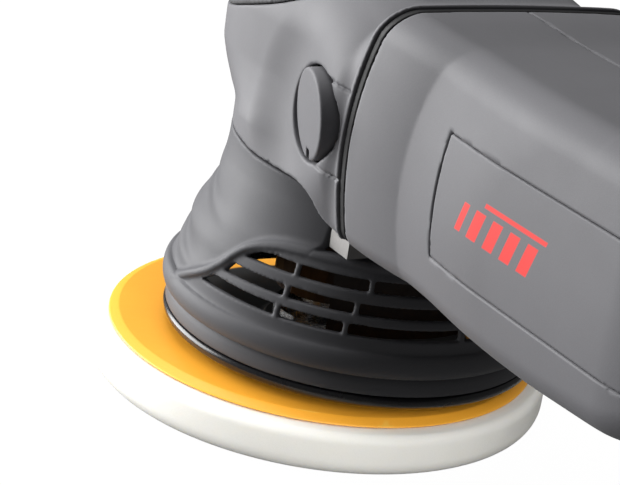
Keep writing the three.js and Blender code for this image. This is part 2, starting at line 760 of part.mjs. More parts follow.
function shroud() {
  const outerRound = roundBody(SHROUD_PROFILE);
  const outerVent = roundBody(VENT_PROFILE).intersect(sideSlab(ARCH));
  const innerRound = roundBody(SHROUD_HOLLOW);
  const innerArch = ARCH.map(([x, z]) => [x + WALL, z - WALL]);
  const innerVent = roundBody(VENT_PROFILE, WALL).intersect(sideSlab(innerArch));
  const shell = cut(join(outerRound, outerVent), innerRound, innerVent);
  return cut(shell, aboveSeam(0), ...ventSlots());
}

// Three rows of slots round the rear half; the stops are the angles of each row's start, ribs and middle.
const SLOT_ROWS = [
  { z: 44.3, stops: [5, 33.5, 54.3, 90] },
  { z: 50.3, stops: [12.2, 34.8, 56.5, 90] },
  { z: 56.9, stops: [21.2, 36.3, 60, 90] },
];
const RIB_HALF = 0.9;

function ventSlots() {
  const outer = RING_RADIUS + 6;
  const slots = [];
  for (const { z, stops } of SLOT_ROWS) {
    for (let i = 0; i + 1 < stops.length; i += 1) {
      const edges = [stops[i] + RIB_HALF, stops[i + 1] - RIB_HALF];
      for (const mirror of [1, -1]) {
        const ends = edges.map((degrees) => THREE.MathUtils.degToRad(degrees - 90) * mirror);
        const shape = new THREE.Shape();
        shape.absarc(0, 0, outer, ends[0], ends[1], mirror < 0);
        shape.absarc(0, 0, outer - SLOT_DEPTH, ends[1], ends[0], mirror > 0);
        const options = { depth: SLOT_HEIGHT, bevelEnabled: false, curveSegments: 2 };
        const geometry = new THREE.ExtrudeGeometry(shape, options);
        geometry.translate(0, 0, z - SLOT_HEIGHT / 2);
        geometry.rotateY(SLOT_TILT);
        slots.push(solid(geometry));
      }
    }
  }
  return slots;
}

function shroudRing() {
  const top = SHROUD_BOTTOM - GAP;
  const outline = [[RING_RADIUS - 4, RING_BOTTOM], [RING_RADIUS - 0.6, RING_BOTTOM], [RING_RADIUS, RING_BOTTOM + 0.8]];
  outline.push([RING_RADIUS, top], [RING_RADIUS - 4, top]);
  return turned(outline, LARGE);
}

const plugHoles = () =>
  [1, -1].map((side) =>
    crossRod(PLUG_RADIUS + 0.9, PLUG_PLACE, ...sided(side, 20, 70), side * PLUG_LEAN, SMALL),
  );

function headShell() {
  const shell = cut(headBody(0), headBody(WALL));
  return cut(shell.intersect(aboveSeam(GAP)), behindSeal(SEAL_RADIUS + SEAL_WIDTH + GAP));
}

const headCover = () => cut(headShell(), capRegion(0), ...plugHoles());
const headTopCap = () => headShell().intersect(capRegion(GAP));

function handlePlug(side) {
  const ends = sided(side, PLUG_FACE - PLUG_DEPTH, PLUG_FACE);
  return crossRod(PLUG_RADIUS, PLUG_PLACE, ...ends, side * PLUG_LEAN, SMALL);
}

function housingSeal() {
  const shell = cut(caseBody(0.4, 30, 80), caseBody(WALL, 29, 81));
  const band = cut(behindSeal(SEAL_RADIUS + SEAL_WIDTH), behindSeal(SEAL_RADIUS));
  return shell.intersect(band);
}

function panelRegion(side, margin, depth) {
  const outline = [
    [PANEL.front - margin, PANEL.bottom - margin],
    [PANEL.rear - 8 + margin, PANEL.bottom - margin],
    [PANEL.rear + margin, PANEL.top + margin],
    [PANEL.front + 2 - margin, PANEL.top + margin],
  ];
  const slab = sideSlab(outline, ...sided(side, 20, 60));
  return cut(slab.intersect(caseBody(-1, 60, 210)), caseBody(depth, 59, 211));
}

const half = (side) => block([0, BEYOND], sided(side, GAP / 2, 100), [0, 200]);

function screwBoss(side, [x, z]) {
  return crossRod(BOSS_RADIUS, [x, z], ...sided(side, 0, 60), 0, 16);
}

// The case screws go in from the +Y side.
function screwHole(side, [x, z]) {
  const shank = crossRod(CASE_SCREW_RADIUS + GAP, [x, z], -12, 60, 0, SCREW_SIDES);
  const head = crossRod(CASE_SCREW_RADIUS * 2 + GAP, [x, z], 16, 60, 0, SCREW_SIDES);
  return side > 0 ? join(shank, head) : shank;
}

function caseScrew([x, z]) {
  const shank = crossRod(CASE_SCREW_RADIUS, [x, z], -10, 14, 0, SCREW_SIDES);
  const head = crossRod(CASE_SCREW_RADIUS * 2, [x, z], 16 + GAP, 19, 0, SCREW_SIDES);
  const neck = crossRod(CASE_SCREW_RADIUS, [x, z], 13, 17, 0, SCREW_SIDES);
  return join(shank, neck, head);
}

function casing(side, from, to, innerFrom, innerTo) {
  const screws = CASE_SCREWS.filter(([x]) => x > from && x < to);
  const hollow = caseBody(WALL, innerFrom, innerTo);
  const bosses = screws.map((place) => screwBoss(side, place).intersect(caseBody(1, from, to)));
  const shell = join(cut(caseBody(0, from, to), hollow), ...bosses);
  return cut(shell.intersect(half(side)), ...screws.map((place) => screwHole(side, place)));
}

function motorHousing(side) {
  const shell = casing(side, 31, HANDLE_START - GAP / 2, 30, HANDLE_START + 1);
  const front = behindSeal(SEAL_RADIUS - GAP);
  const pocket = panelRegion(side, GAP, PANEL.depth + GAP);
  const brushHole = crossRod(CAP_RADIUS + GAP, [brushX, MOTOR_HEIGHT], ...sided(side, 30, 60));
  return cut(shell.intersect(front), pocket, brushHole);
}

function sidePanel(side) {
  return panelRegion(side, 0, PANEL.depth).intersect(caseBody(0.2, 60, 210));
}

function rearHandle(side) {
  const shell = casing(side, HANDLE_START + GAP / 2, HANDLE_END, HANDLE_START - 1, HANDLE_END - WALL);
  const triggerSlot = block(
    [TRIGGER_PIVOT[0] - 7, TRIGGER_PIVOT[0] + TRIGGER_LENGTH + 3],
    [-TRIGGER_HALF_WIDTH - 0.5, TRIGGER_HALF_WIDTH + 0.5],
    [70, TRIGGER_PIVOT[1] + 1],
  );
  const dialSlot = block(
    [DIAL_PLACE[0] - DIAL_RADIUS - 0.6, DIAL_PLACE[0] + DIAL_RADIUS + 0.6],
    [-DIAL_WIDTH / 2 - 0.5, DIAL_WIDTH / 2 + 0.5],
    [DIAL_PLACE[1], 140],
  );
  const inletHole = rod(INLET_RADIUS + GAP, HANDLE_END - 12, HANDLE_END + 2, SMALL, true).translate([0, 0, HANDLE_MIDDLE]);
  const tools = [triggerSlot, dialSlot, inletHole];
  if (side < 0) tools.push(crossRod(BUTTON_RADIUS + RUN, BUTTON_PLACE, -60, -15));
  return cut(shell, ...tools);
}

// ---- Controls ----

function trigger() {
  const [px, pz] = TRIGGER_PIVOT;
  const end = px + TRIGGER_LENGTH;
  const outline = [
    [px - 4, pz - 2],
    [px - 3, pz - 12],
    [px + 4, pz - 16.5],
    [px + 12, pz - 16],
    [px + 26, pz - 13.5],
    [end - 10, pz - 14],
    [end - 1, pz - 16],
    [end, pz - 13],
    [end, pz - 6],
    [px + 8, pz - 4],
    [px + 4, pz + 2.6],
    [px - 2, pz + 3.2],
  ];
  return sideSlab(outline, -TRIGGER_HALF_WIDTH, TRIGGER_HALF_WIDTH);
}

function lockButton() {
  const [x, z] = BUTTON_PLACE;
  return join(crossRod(BUTTON_RADIUS, [x, z], -29, -17), crossRod(BUTTON_RADIUS + 2, [x, z], -20.5, -17));
}

function speedDial() {
  const teeth = 18;
  const shape = new THREE.Shape();
  for (let i = 0; i < teeth * 2; i += 1) {
    const angle = (i / (teeth * 2)) * 2 * Math.PI;
    const radius = i % 2 ? DIAL_RADIUS : DIAL_RADIUS - 0.8;
    const point = [radius * Math.cos(angle), radius * Math.sin(angle)];
    if (i === 0) shape.moveTo(...point);
    else shape.lineTo(...point);
  }
  const geometry = new THREE.ExtrudeGeometry(shape, { depth: DIAL_WIDTH, bevelEnabled: false });
  geometry.translate(0, 0, -DIAL_WIDTH / 2);
  geometry.rotateX(Math.PI / 2);
  return solid(geometry);
}

function switchBody() {
  const body = block([238, 278], [-10.5, 10.5], [TRIGGER_PIVOT[1] + 6, 117]);
  const plunger = block([262, 268], [-2.5, 2.5], [TRIGGER_PIVOT[1] + 1.5, TRIGGER_PIVOT[1] + 7]);
  return join(body, plunger);
}

function cordInlet() {
  const end = HANDLE_END + 3;
  const outline = [[INLET_BORE, HANDLE_END - 14], [INLET_RADIUS, HANDLE_END - 14], [INLET_RADIUS, HANDLE_END + GAP]];
  outline.push([INLET_RADIUS + 1.5, HANDLE_END + GAP], [INLET_RADIUS + 1, end], [INLET_BORE, end]);
  return turned(outline, SMALL, true).translate([0, 0, HANDLE_MIDDLE]);
}

// ---- Materials ----

const finish = (color, roughness, metalness = 0) => ({ color, roughness, metalness });
const FINISHES = {
  shell: finish(0x4b4a4f, 0.55),
  shroud: finish(0x3d3c41, 0.6),
  palm: finish(0x38373b, 0.7),
  gloss: finish(0x0e0e10, 0.25),
  seal: finish(0x121213, 0.5),
  control: finish(0x17171a, 0.5),
  foam: finish(0xece9dd, 0.75),
  core: finish(0xf39c1f, 0.4),
  hook: finish(0x2a2a2c, 0.95),
  casting: finish(0xa09c98, 0.45, 0.9),
  steel: finish(0x8f9195, 0.3, 1),
  iron: finish(0x55524f, 0.5, 0.8),
  lamination: finish(0x6c6c70, 0.45, 0.9),
  copper: finish(0xb4693a, 0.35, 1),
  carbon: finish(0x2c2c2e, 0.7),
  nylon: finish(0x20201f, 0.55),
  brass: finish(0xb89448, 0.35, 1),
};

function piece(name, body, look) {
  const mesh = new THREE.Mesh(geometryOf(body), new THREE.MeshStandardMaterial(FINISHES[look]));
  mesh.name = name;
  return mesh;
}

// ---- Assembly ----

const polisher = new THREE.Group();

const plate = new THREE.Group();
plate.position.set(...plateCentre);
plate.add(
  piece("hook_face", hookFace(), "hook"),
  piece("backing_plate_cushion", cushion(), "foam"),
  piece("backing_plate_core", plateCore(), "core"),
  piece("plate_spindle", plateSpindle(), "steel"),
  piece("plate_screw", plateScrew(), "steel"),
);
polisher.add(plate);

const spindle = new THREE.Group();
spindle.add(
  piece("spindle_shaft", spindleShaft(), "steel"),
  piece("bevel_gear", bevelWheel(), "steel"),
  piece("counterweight", counterweight(), "iron"),
);
const orbitInner = PLATE_SPINDLE_RADIUS + RUN;
["lower", "upper"].forEach((level, i) => {
  const from = ORBIT_BEARING_HEIGHTS[i];
  const bearing = ring(orbitInner, ORBIT_BEARING_RADIUS, from, from + ORBIT_BEARING_WIDTH, SMALL);
  const mesh = piece(`orbit_bearing_${level}`, bearing, "steel");
  mesh.position.set(...plateCentre);
  spindle.add(mesh);
});
polisher.add(spindle);

const motor = new THREE.Group();
motor.position.z = MOTOR_HEIGHT;
motor.add(
  piece("armature_shaft", motorShaft(), "steel"),
  piece("armature_core", armatureCore(), "lamination"),
  piece("armature_winding_front", winding(STACK[0] - WINDING_LENGTH, STACK[0] - GAP), "copper"),
  piece("armature_winding_rear", winding(STACK[1] + GAP, STACK[1] + WINDING_LENGTH), "copper"),
  piece("commutator", commutator(), "copper"),
  piece("cooling_fan", coolingFan(), "nylon"),
  piece("bevel_pinion", bevelPinion(), "steel"),
  piece("stator_core", statorCore(), "lamination"),
  piece("field_coil_upper", fieldCoil(POLES[0]), "copper"),
  piece("field_coil_lower", fieldCoil(POLES[1]), "copper"),
  piece("armature_bearing_front", ring(SHAFT_RADIUS + RUN, MOTOR_BEARING_RADIUS, ...FRONT_BEARING, SMALL, true), "steel"),
  piece("armature_bearing_rear", ring(SHAFT_RADIUS + RUN, REAR_BEARING_RADIUS, ...REAR_BEARING, SMALL, true), "steel"),
  piece("rear_bearing_bracket", rearBracket(), "casting"),
  piece("fan_baffle", fanBaffle(), "nylon"),
);
polisher.add(motor);

const retainerTop = LOWER_BEARING[0] - GAP;
polisher.add(
  piece("gear_case", gearCase(), "casting"),
  piece("spindle_bearing_lower", ring(SPINDLE_RADIUS + RUN, LOWER_BEARING_RADIUS, ...LOWER_BEARING, SMALL), "steel"),
  piece("spindle_bearing_upper", ring(SPINDLE_END + RUN, UPPER_BEARING_RADIUS, ...UPPER_BEARING, SMALL), "steel"),
  piece("bearing_retainer", ring(SPINDLE_RADIUS + 1, LOWER_BEARING_RADIUS, WEIGHT_TOP + 2, retainerTop, SMALL), "steel"),
  piece("shroud", shroud(), "shroud"),
  piece("shroud_ring", shroudRing(), "gloss"),
  piece("head_cover", headCover(), "shell"),
  piece("head_top_cap", headTopCap(), "palm"),
  piece("housing_seal", housingSeal(), "seal"),
);

for (const [word, side] of [["left", -1], ["right", 1]]) {
  polisher.add(
    piece(`motor_housing_${word}`, motorHousing(side), "shell"),
    piece(`rear_handle_${word}`, rearHandle(side), "shell"),
    piece(`side_panel_${word}`, sidePanel(side), "shell"),
    piece(`handle_plug_${word}`, handlePlug(side), "shell"),
    piece(`brush_holder_${word}`, brushHolder(side), "brass"),
    piece(`carbon_brush_${word}`, carbonBrush(side), "carbon"),
    piece(`brush_spring_${word}`, brushSpring(side), "steel"),
    piece(`brush_cap_${word}`, brushCap(side), "nylon"),
  );
}

CASE_SCREWS.forEach((place, i) => polisher.add(piece(`case_screw_${i + 1}`, caseScrew(place), "steel")));

const dial = piece("speed_dial", speedDial(), "control");
dial.position.set(DIAL_PLACE[0], 0, DIAL_PLACE[1]);
polisher.add(
  piece("trigger", trigger(), "control"),
  piece("lock_button", lockButton(), "control"),
  dial,
  piece("switch_body", switchBody(), "nylon"),
  piece("speed_controller", block([282, 303], [-14, 14], [99, 117]), "nylon"),
  piece("cord_inlet", cordInlet(), "seal"),
);

export default polisher;
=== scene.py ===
# Dual action polisher: the visual pieces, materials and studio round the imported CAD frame.
# Shapes are worked out in millimetres and turned into metres when a mesh is made.

import math

import bpy
import numpy as np
from mathutils import Matrix, Vector


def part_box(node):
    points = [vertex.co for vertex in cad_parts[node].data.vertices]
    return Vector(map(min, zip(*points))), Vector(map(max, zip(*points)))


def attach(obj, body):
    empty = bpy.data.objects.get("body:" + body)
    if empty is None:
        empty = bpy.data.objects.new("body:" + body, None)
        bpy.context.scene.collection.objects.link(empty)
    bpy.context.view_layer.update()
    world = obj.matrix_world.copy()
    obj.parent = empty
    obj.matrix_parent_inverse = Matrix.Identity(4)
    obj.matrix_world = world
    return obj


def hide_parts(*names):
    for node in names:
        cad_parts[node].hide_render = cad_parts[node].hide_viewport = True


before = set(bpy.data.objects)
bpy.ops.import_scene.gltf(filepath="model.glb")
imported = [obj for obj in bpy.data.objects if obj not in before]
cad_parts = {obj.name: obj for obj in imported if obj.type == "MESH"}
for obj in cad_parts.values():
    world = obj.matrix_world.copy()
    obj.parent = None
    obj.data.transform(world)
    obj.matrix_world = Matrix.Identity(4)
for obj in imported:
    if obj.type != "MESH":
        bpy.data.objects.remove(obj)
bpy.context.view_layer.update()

MM = 0.001
DETAIL = 1.0  # cell size factor
SEGMENTS = 288  # round pieces

# ---- Camera and studio ----

scene = bpy.context.scene
scene.view_settings.view_transform = "Standard"
scene.view_settings.look = "None"

CAMERA_PLACE = (464.14, -318.46, 256.31)
CAMERA_RIGHT = (0.4865, 0.8605, 0.151)
CAMERA_UP = (-0.3778, 0.0514, 0.9245)
CAMERA_LENS = 109.3


WORLD_STRENGTH = 0.14
LEFT_LIGHT = {"place": (-1.18, -1.04, 0.33), "aim": (0, 0, 0.09), "width": 1.3, "height": 1.3, "watts": 63}
TOP_LIGHT = {"place": (-0.5, -0.1, 1.5), "aim": (0, 0, 0.09), "width": 1.0, "height": 1.0, "watts": 13}
BOUNCE_LIGHT = {"place": (0.46, -0.2, 0.3), "aim": (0, 0, 0.01), "width": 0.5, "height": 0.5, "watts": 3.0}


def add_camera():
    data = bpy.data.cameras.new("camera")
    data.lens = CAMERA_LENS
    data.sensor_width = 36
    data.sensor_fit = "HORIZONTAL"
    data.clip_start = 0.02
    data.clip_end = 100
    camera = bpy.data.objects.new("camera", data)
    scene.collection.objects.link(camera)
    right = Vector(CAMERA_RIGHT).normalized()
    back = right.cross(Vector(CAMERA_UP)).normalized()
    up = back.cross(right)
    turn = Matrix((right, up, back)).transposed()
    camera.matrix_world = Matrix.Translation(Vector(CAMERA_PLACE) * MM) @ turn.to_4x4()
    scene.camera = camera


def add_area_light(name, place, aim, width, height, watts):
    data = bpy.data.lights.new(name, "AREA")
    data.shape = "RECTANGLE"
    data.size = width
    data.size_y = height
    data.energy = watts
    light = bpy.data.objects.new(name, data)
    scene.collection.objects.link(light)
    away = Vector(place) - Vector(aim)
    light.matrix_world = Matrix.Translation(place) @ away.to_track_quat("Z", "Y").to_matrix().to_4x4()
    return light


def add_studio():
    world = bpy.data.worlds.new("studio")
    world.use_nodes = True
    background = world.node_tree.nodes["Background"]
    background.inputs["Color"].default_value = (1, 1, 1, 1)
    background.inputs["Strength"].default_value = WORLD_STRENGTH
    scene.world = world
    add_area_light("left_softbox", **LEFT_LIGHT)
    add_area_light("top_softbox", **TOP_LIGHT)


def add_plate_bounce():
    """The light a white table throws back on the plate, kept off the inside of the shroud."""
    light = add_area_light("plate_bounce", **BOUNCE_LIGHT)
    lit = bpy.data.collections.new("plate_pieces")
    blocking = bpy.data.collections.new("bounce_blockers")
    for name in ("plate_cushion_foam", "plate_core_board", "hook_face_pile"):
        lit.objects.link(bpy.data.objects[name])
    for name in ("plate_cushion_foam", "plate_core_board", "shroud_cover", "shroud_ring_gloss"):
        blocking.objects.link(bpy.data.objects[name])
    light.light_linking.receiver_collection = lit
    light.light_linking.blocker_collection = blocking


# ---- Number helpers ----


def smoothstep(low, high, value):
    share = np.clip((value - low) / (high - low), 0, 1)
    return share * share * (3 - 2 * share)


def smooth_curve(rows):
    """A monotone curve through (station, value) rows, flat outside them."""
    x = np.array([row[0] for row in rows], float)
    y = np.array([row[1] for row in rows], float)
    step = np.diff(x)
    slope = np.diff(y) / step
    tangent = np.zeros(len(x))
    tangent[0], tangent[-1] = slope[0], slope[-1]
    for i in range(1, len(x) - 1):
        if slope[i - 1] * slope[i] > 0:
            tangent[i] = 2 * slope[i - 1] * slope[i] / (slope[i - 1] + slope[i])

    def at(value):
        value = np.clip(value, x[0], x[-1])
        i = np.clip(np.searchsorted(x, value) - 1, 0, len(step) - 1)
        t = (value - x[i]) / step[i]
        rise = y[i + 1] - y[i]
        start, end = tangent[i] * step[i], tangent[i + 1] * step[i]
        return y[i] + t * (start + t * (3 * rise - 2 * start - end + t * (start + end - 2 * rise)))

    return at


def both(a, b, radius=0.0):
    """Where two forms meet, with a rounded edge."""
    if radius <= 0:
        return np.maximum(a, b)
    corner = np.hypot(np.maximum(a + radius, 0), np.maximum(b + radius, 0))
    return np.minimum(-radius, np.maximum(a, b)) + corner


def either(a, b, radius=0.0):
    """Two forms together, with a filleted inside corner."""
    if radius <= 0:
        return np.minimum(a, b)
    corner = np.hypot(np.maximum(radius - a, 0), np.maximum(radius - b, 0))
    return np.maximum(radius, np.minimum(a, b)) - corner


def without(a, b, radius=0.0):
    return both(a, -b, radius)


def rounded_box(u, v, half_u, half_v, radius):
    du = np.abs(u) - half_u + radius
    dv = np.abs(v) - half_v + radius
    return np.minimum(np.maximum(du, dv), 0) + np.hypot(np.maximum(du, 0), np.maximum(dv, 0)) - radius


def outline_distance(points, u, v):
    """Signed distance to a closed outline of (u, v) points."""
    nearest = np.full(np.broadcast(u, v).shape, 1e9)
    inside = np.zeros(nearest.shape, bool)
    for (u0, v0), (u1, v1) in zip(points, points[1:] + points[:1]):
        du, dv = u1 - u0, v1 - v0
        share = np.clip(((u - u0) * du + (v - v0) * dv) / (du * du + dv * dv), 0, 1)
        nearest = np.minimum(nearest, np.hypot(u - u0 - share * du, v - v0 - share * dv))
        crosses = (v0 > v) != (v1 > v)
        if dv != 0:
            inside ^= crosses & (u < u0 + (v - v0) * du / dv)
    return np.where(inside, -nearest, nearest)


# ---- Meshes ----


def mesh_object(name, points, faces, smooth_angle=None):
    mesh = bpy.data.meshes.new(name)
    mesh.from_pydata((np.asarray(points) * MM).tolist(), [], faces)
    mesh.update()
    mesh.polygons.foreach_set("use_smooth", np.ones(len(mesh.polygons), bool))
    if smooth_angle:
        mesh.set_sharp_from_angle(angle=math.radians(smooth_angle))
    made = bpy.data.objects.new(name, mesh)
    scene.collection.objects.link(made)
    return made


def quad_mesh_object(name, points, quads):
    mesh = bpy.data.meshes.new(name)
    mesh.vertices.add(len(points))
    mesh.vertices.foreach_set("co", (points * MM).astype(np.float32).ravel())
    mesh.loops.add(quads.size)
    mesh.loops.foreach_set("vertex_index", quads.astype(np.int32).ravel())
    mesh.polygons.add(len(quads))
    mesh.polygons.foreach_set("loop_start", np.arange(0, quads.size, 4, dtype=np.int32))
    mesh.update(calc_edges=True)
    mesh.polygons.foreach_set("use_smooth", np.ones(len(quads), bool))
    mesh.update()
    made = bpy.data.objects.new(name, mesh)
    scene.collection.objects.link(made)
    return made


CORNERS = [(0, 0, 0), (1, 0, 0), (0, 1, 0), (1, 1, 0), (0, 0, 1), (1, 0, 1), (0, 1, 1), (1, 1, 1)]
CELL_EDGES = [(0, 1), (2, 3), (4, 5), (6, 7), (0, 2), (1, 3), (4, 6), (5, 7), (0, 4), (1, 5), (2, 6), (3, 7)]


def form_object(name, form, low, high, cell):
    """The closed surface where form(x, y, z) is zero, as a fine quad mesh."""
    cell = cell * DETAIL
    low = np.array(low, float) - 2.03 * cell
    count = np.ceil((np.array(high, float) + 2 * cell - low) / cell).astype(int) + 1
    axes = [low[i] + cell * np.arange(count[i]) for i in range(3)]
    value = form(*np.meshgrid(*axes, indexing="ij"))
    inside = value < 0
    cells = tuple(n - 1 for n in count)
    filled = np.zeros(cells, np.int8)
    for di, dj, dk in CORNERS:
        filled += inside[di : di + cells[0], dj : dj + cells[1], dk : dk + cells[2]]
    i, j, k = np.nonzero((filled > 0) & (filled < 8))
    number = np.full(cells, -1, np.int64)
    number[i, j, k] = np.arange(len(i))
    total = np.zeros((len(i), 3))
    crossings = np.zeros(len(i))
    for a, b in CELL_EDGES:
        ca, cb = np.array(CORNERS[a]), np.array(CORNERS[b])
        fa = value[i + ca[0], j + ca[1], k + ca[2]]
        fb = value[i + cb[0], j + cb[1], k + cb[2]]
        crosses = (fa < 0) != (fb < 0)
        share = np.where(crosses, fa / np.where(crosses, fa - fb, 1), 0)
        total += np.where(crosses[:, None], ca + share[:, None] * (cb - ca), 0)
        crossings += crosses
    start = low + cell * (np.stack([i, j, k], 1) + total / crossings[:, None])
    points = start.copy()
    small = 0.02
    for _ in range(3):
        x, y, z = points.T
        here = form(x, y, z)
        slope = np.stack(
            [
                form(x + small, y, z) - form(x - small, y, z),
                form(x, y + small, z) - form(x, y - small, z),
                form(x, y, z + small) - form(x, y, z - small),
            ],
            1,
        ) / (2 * small)
        steep = np.maximum((slope**2).sum(1), 0.05)
        points -= 0.9 * (here / steep)[:, None] * slope
        points = start + np.clip(points - start, -0.5 * cell, 0.5 * cell)
    quads = []
    for axis in range(3):
        one, two = (axis + 1) % 3, (axis + 2) % 3
        here = [slice(1, -1)] * 3
        here[axis] = slice(0, -1)
        ahead = list(here)
        ahead[axis] = slice(1, None)
        changes = inside[tuple(here)] != inside[tuple(ahead)]
        at = np.stack(np.nonzero(changes), 1)
        for other in (one, two):
            at[:, other] += 1
        corner = []
        for step_one, step_two in ((-1, -1), (0, -1), (0, 0), (-1, 0)):
            place = at.copy()
            place[:, one] += step_one
            place[:, two] += step_two
            corner.append(number[place[:, 0], place[:, 1], place[:, 2]])
        quad = np.stack(corner, 1)
        outward = inside[tuple(here)][changes]
        quads.append(np.where(outward[:, None], quad, quad[:, ::-1]))
    return quad_mesh_object(name, points, np.concatenate(quads))


def filleted(outline, radius=0.5, steps=4):
    """A closed outline with its corners rounded; points on the axis stay."""
    made = []
    for i, point in enumerate(outline):
        before, after = np.array(outline[i - 1], float), np.array(outline[(i + 1) % len(outline)], float)
        corner = np.array(point, float)
        if corner[0] == 0 or radius == 0:
            made.append(tuple(corner))
            continue
        into, out = before - corner, after - corner
        reach = min(radius, 0.45 * np.linalg.norm(into), 0.45 * np.linalg.norm(out))
        first = corner + into / np.linalg.norm(into) * reach
        last = corner + out / np.linalg.norm(out) * reach
        for step in range(steps + 1):
            t = step / steps
            made.append(tuple((1 - t) ** 2 * first + 2 * t * (1 - t) * corner + t * t * last))
    return made


def turned_object(name, outline, centre=(0, 0), segments=None, lying=False, smooth_angle=40):
    """Turns a closed (radius, height) outline about Z, or about X when lying."""
    segments = segments or SEGMENTS
    area = sum(a[0] * b[1] - b[0] * a[1] for a, b in zip(outline, outline[1:] + outline[:1]))
    if area < 0:
        outline = outline[::-1]
    rings, points = [], []
    for radius, height in outline:
        if radius == 0:
            rings.append([len(points)])
            points.append((0, 0, height))
            continue
        rings.append(list(range(len(points), len(points) + segments)))
        for i in range(segments):
            angle = 2 * math.pi * i / segments
            points.append((radius * math.cos(angle), radius * math.sin(angle), height))
    faces = []
    for a, b in zip(rings, rings[1:] + rings[:1]):
        if len(a) == 1 and len(b) == 1:
            continue
        for i in range(segments):
            n = (i + 1) % segments
            if len(a) == 1:
                faces.append((a[0], b[n], b[i]))
            elif len(b) == 1:
                faces.append((a[i], a[n], b[0]))
            else:
                faces.append((a[i], a[n], b[n], b[i]))
    points = np.array(points, float)
    if lying:
        points = np.stack([points[:, 2], points[:, 0], points[:, 1]], 1)
        points += np.array([0, centre[0], centre[1]])
    else:
        points += np.array([centre[0], centre[1], 0])
    return mesh_object(name, points, faces, smooth_angle)


# ---- Materials ----


class Shader:
    """A Principled material with helpers for its procedural detail."""

    def __init__(self, name):
        self.material = bpy.data.materials.new(name)
        self.material.use_nodes = True
        self.nodes = self.material.node_tree.nodes
        self.links = self.material.node_tree.links
        self.surface = self.nodes["Principled BSDF"]
        self.place = self.nodes.new("ShaderNodeTexCoord").outputs["Object"]

    def set(self, **values):
        for key, value in values.items():
            self.surface.inputs[key.replace("_", " ")].default_value = value
        return self

    def link(self, output, key):
        self.links.new(output, self.surface.inputs[key])

    def noise(self, scale, detail=4.0, roughness=0.55, stretch=(1, 1, 1)):
        mapping = self.nodes.new("ShaderNodeMapping")
        mapping.inputs["Scale"].default_value = stretch
        self.links.new(self.place, mapping.inputs["Vector"])
        node = self.nodes.new("ShaderNodeTexNoise")
        node.inputs["Scale"].default_value = scale
        node.inputs["Detail"].default_value = detail
        node.inputs["Roughness"].default_value = roughness
        self.links.new(mapping.outputs["Vector"], node.inputs["Vector"])
        return node.outputs["Fac"]

    def ramp(self, value, *stops):
        node = self.nodes.new("ShaderNodeValToRGB")
        while len(node.color_ramp.elements) < len(stops):
            node.color_ramp.elements.new(0.5)
        for element, (place, colour) in zip(node.color_ramp.elements, stops):
            element.position = place
            element.color = (*colour, 1)
        self.links.new(value, node.inputs["Fac"])
        return node.outputs["Color"]

    def span(self, value, low, high, start=0.0, end=1.0):
        node = self.nodes.new("ShaderNodeMapRange")
        node.inputs["From Min"].default_value = start
        node.inputs["From Max"].default_value = end
        node.inputs["To Min"].default_value = low
        node.inputs["To Max"].default_value = high
        self.links.new(value, node.inputs["Value"])
        return node.outputs["Result"]

    def math(self, operation, a, b=None, clamp=False):
        node = self.nodes.new("ShaderNodeMath")
        node.operation = operation
        node.use_clamp = clamp
        for socket, value in zip(node.inputs, (a, b)):
            if value is None:
                continue
            if isinstance(value, (int, float)):
                socket.default_value = value
            else:
                self.links.new(value, socket)
        return node.outputs["Value"]

    def mix(self, share, a, b):
        node = self.nodes.new("ShaderNodeMix")
        node.data_type = "RGBA"
        self.links.new(share, node.inputs["Factor"])
        for socket, value in ((node.inputs[6], a), (node.inputs[7], b)):
            if isinstance(value, tuple):
                socket.default_value = (*value, 1)
            else:
                self.links.new(value, socket)
        return node.outputs[2]

    def bump(self, *layers):
        normal = None
        for value, distance in layers:
            node = self.nodes.new("ShaderNodeBump")
            node.inputs["Distance"].default_value = distance
            node.inputs["Strength"].default_value = 1.0
            self.links.new(value, node.inputs["Height"])
            if normal is not None:
                self.links.new(normal, node.inputs["Normal"])
            normal = node.outputs["Normal"]
        self.link(normal, "Normal")
        return self

    def edges(self, low, high):
        """How far a spot is on an outside edge, from 0 to 1."""
        geometry = self.nodes.new("ShaderNodeNewGeometry")
        return self.span(geometry.outputs["Pointiness"], 0, 1, low, high)


def shade(colour, factor):
    return tuple(channel * factor for channel in colour)


def plastic(name, colour, roughness=0.55, grain=0.00002, sheen=0.0, wear=0.15, coat=0.0, specular=0.3):
    made = Shader(name)
    cloud = made.noise(22, 3)
    speck = made.noise(2600, 2)
    fine = made.noise(4200, 1)
    base = made.ramp(cloud, (0.3, shade(colour, 0.93)), (0.7, shade(colour, 1.07)))
    dusty = made.mix(made.span(speck, 0, 0.22, 0.35, 0.8), base, shade(colour, 1.35))
    worn = made.mix(made.math("MULTIPLY", made.edges(0.52, 0.6), wear), dusty, shade(colour, 1.9))
    made.link(worn, "Base Color")
    made.link(made.span(made.noise(60, 4), roughness - 0.05, roughness + 0.07), "Roughness")
    made.set(Sheen_Weight=sheen, Sheen_Roughness=0.45, Specular_IOR_Level=specular)
    made.set(Coat_Weight=coat, Coat_Roughness=0.12)
    made.bump((fine, grain), (made.noise(700, 3), grain * 0.6))
    return made.material


def metal(name, colour, roughness=0.3, brushed=(1, 1, 1), pitted=0.00001):
    made = Shader(name)
    cloud = made.noise(90, 5)
    lines = made.noise(700, 3, stretch=brushed)
    base = made.ramp(cloud, (0.3, shade(colour, 0.8)), (0.7, shade(colour, 1.08)))
    worn = made.mix(made.math("MULTIPLY", made.edges(0.52, 0.6), 0.5), base, shade(colour, 1.25))
    made.link(worn, "Base Color")
    made.link(made.span(lines, roughness - 0.08, roughness + 0.14), "Roughness")
    made.set(Metallic=1.0)
    made.bump((lines, pitted), (made.noise(1500, 2), pitted))
    return made.material


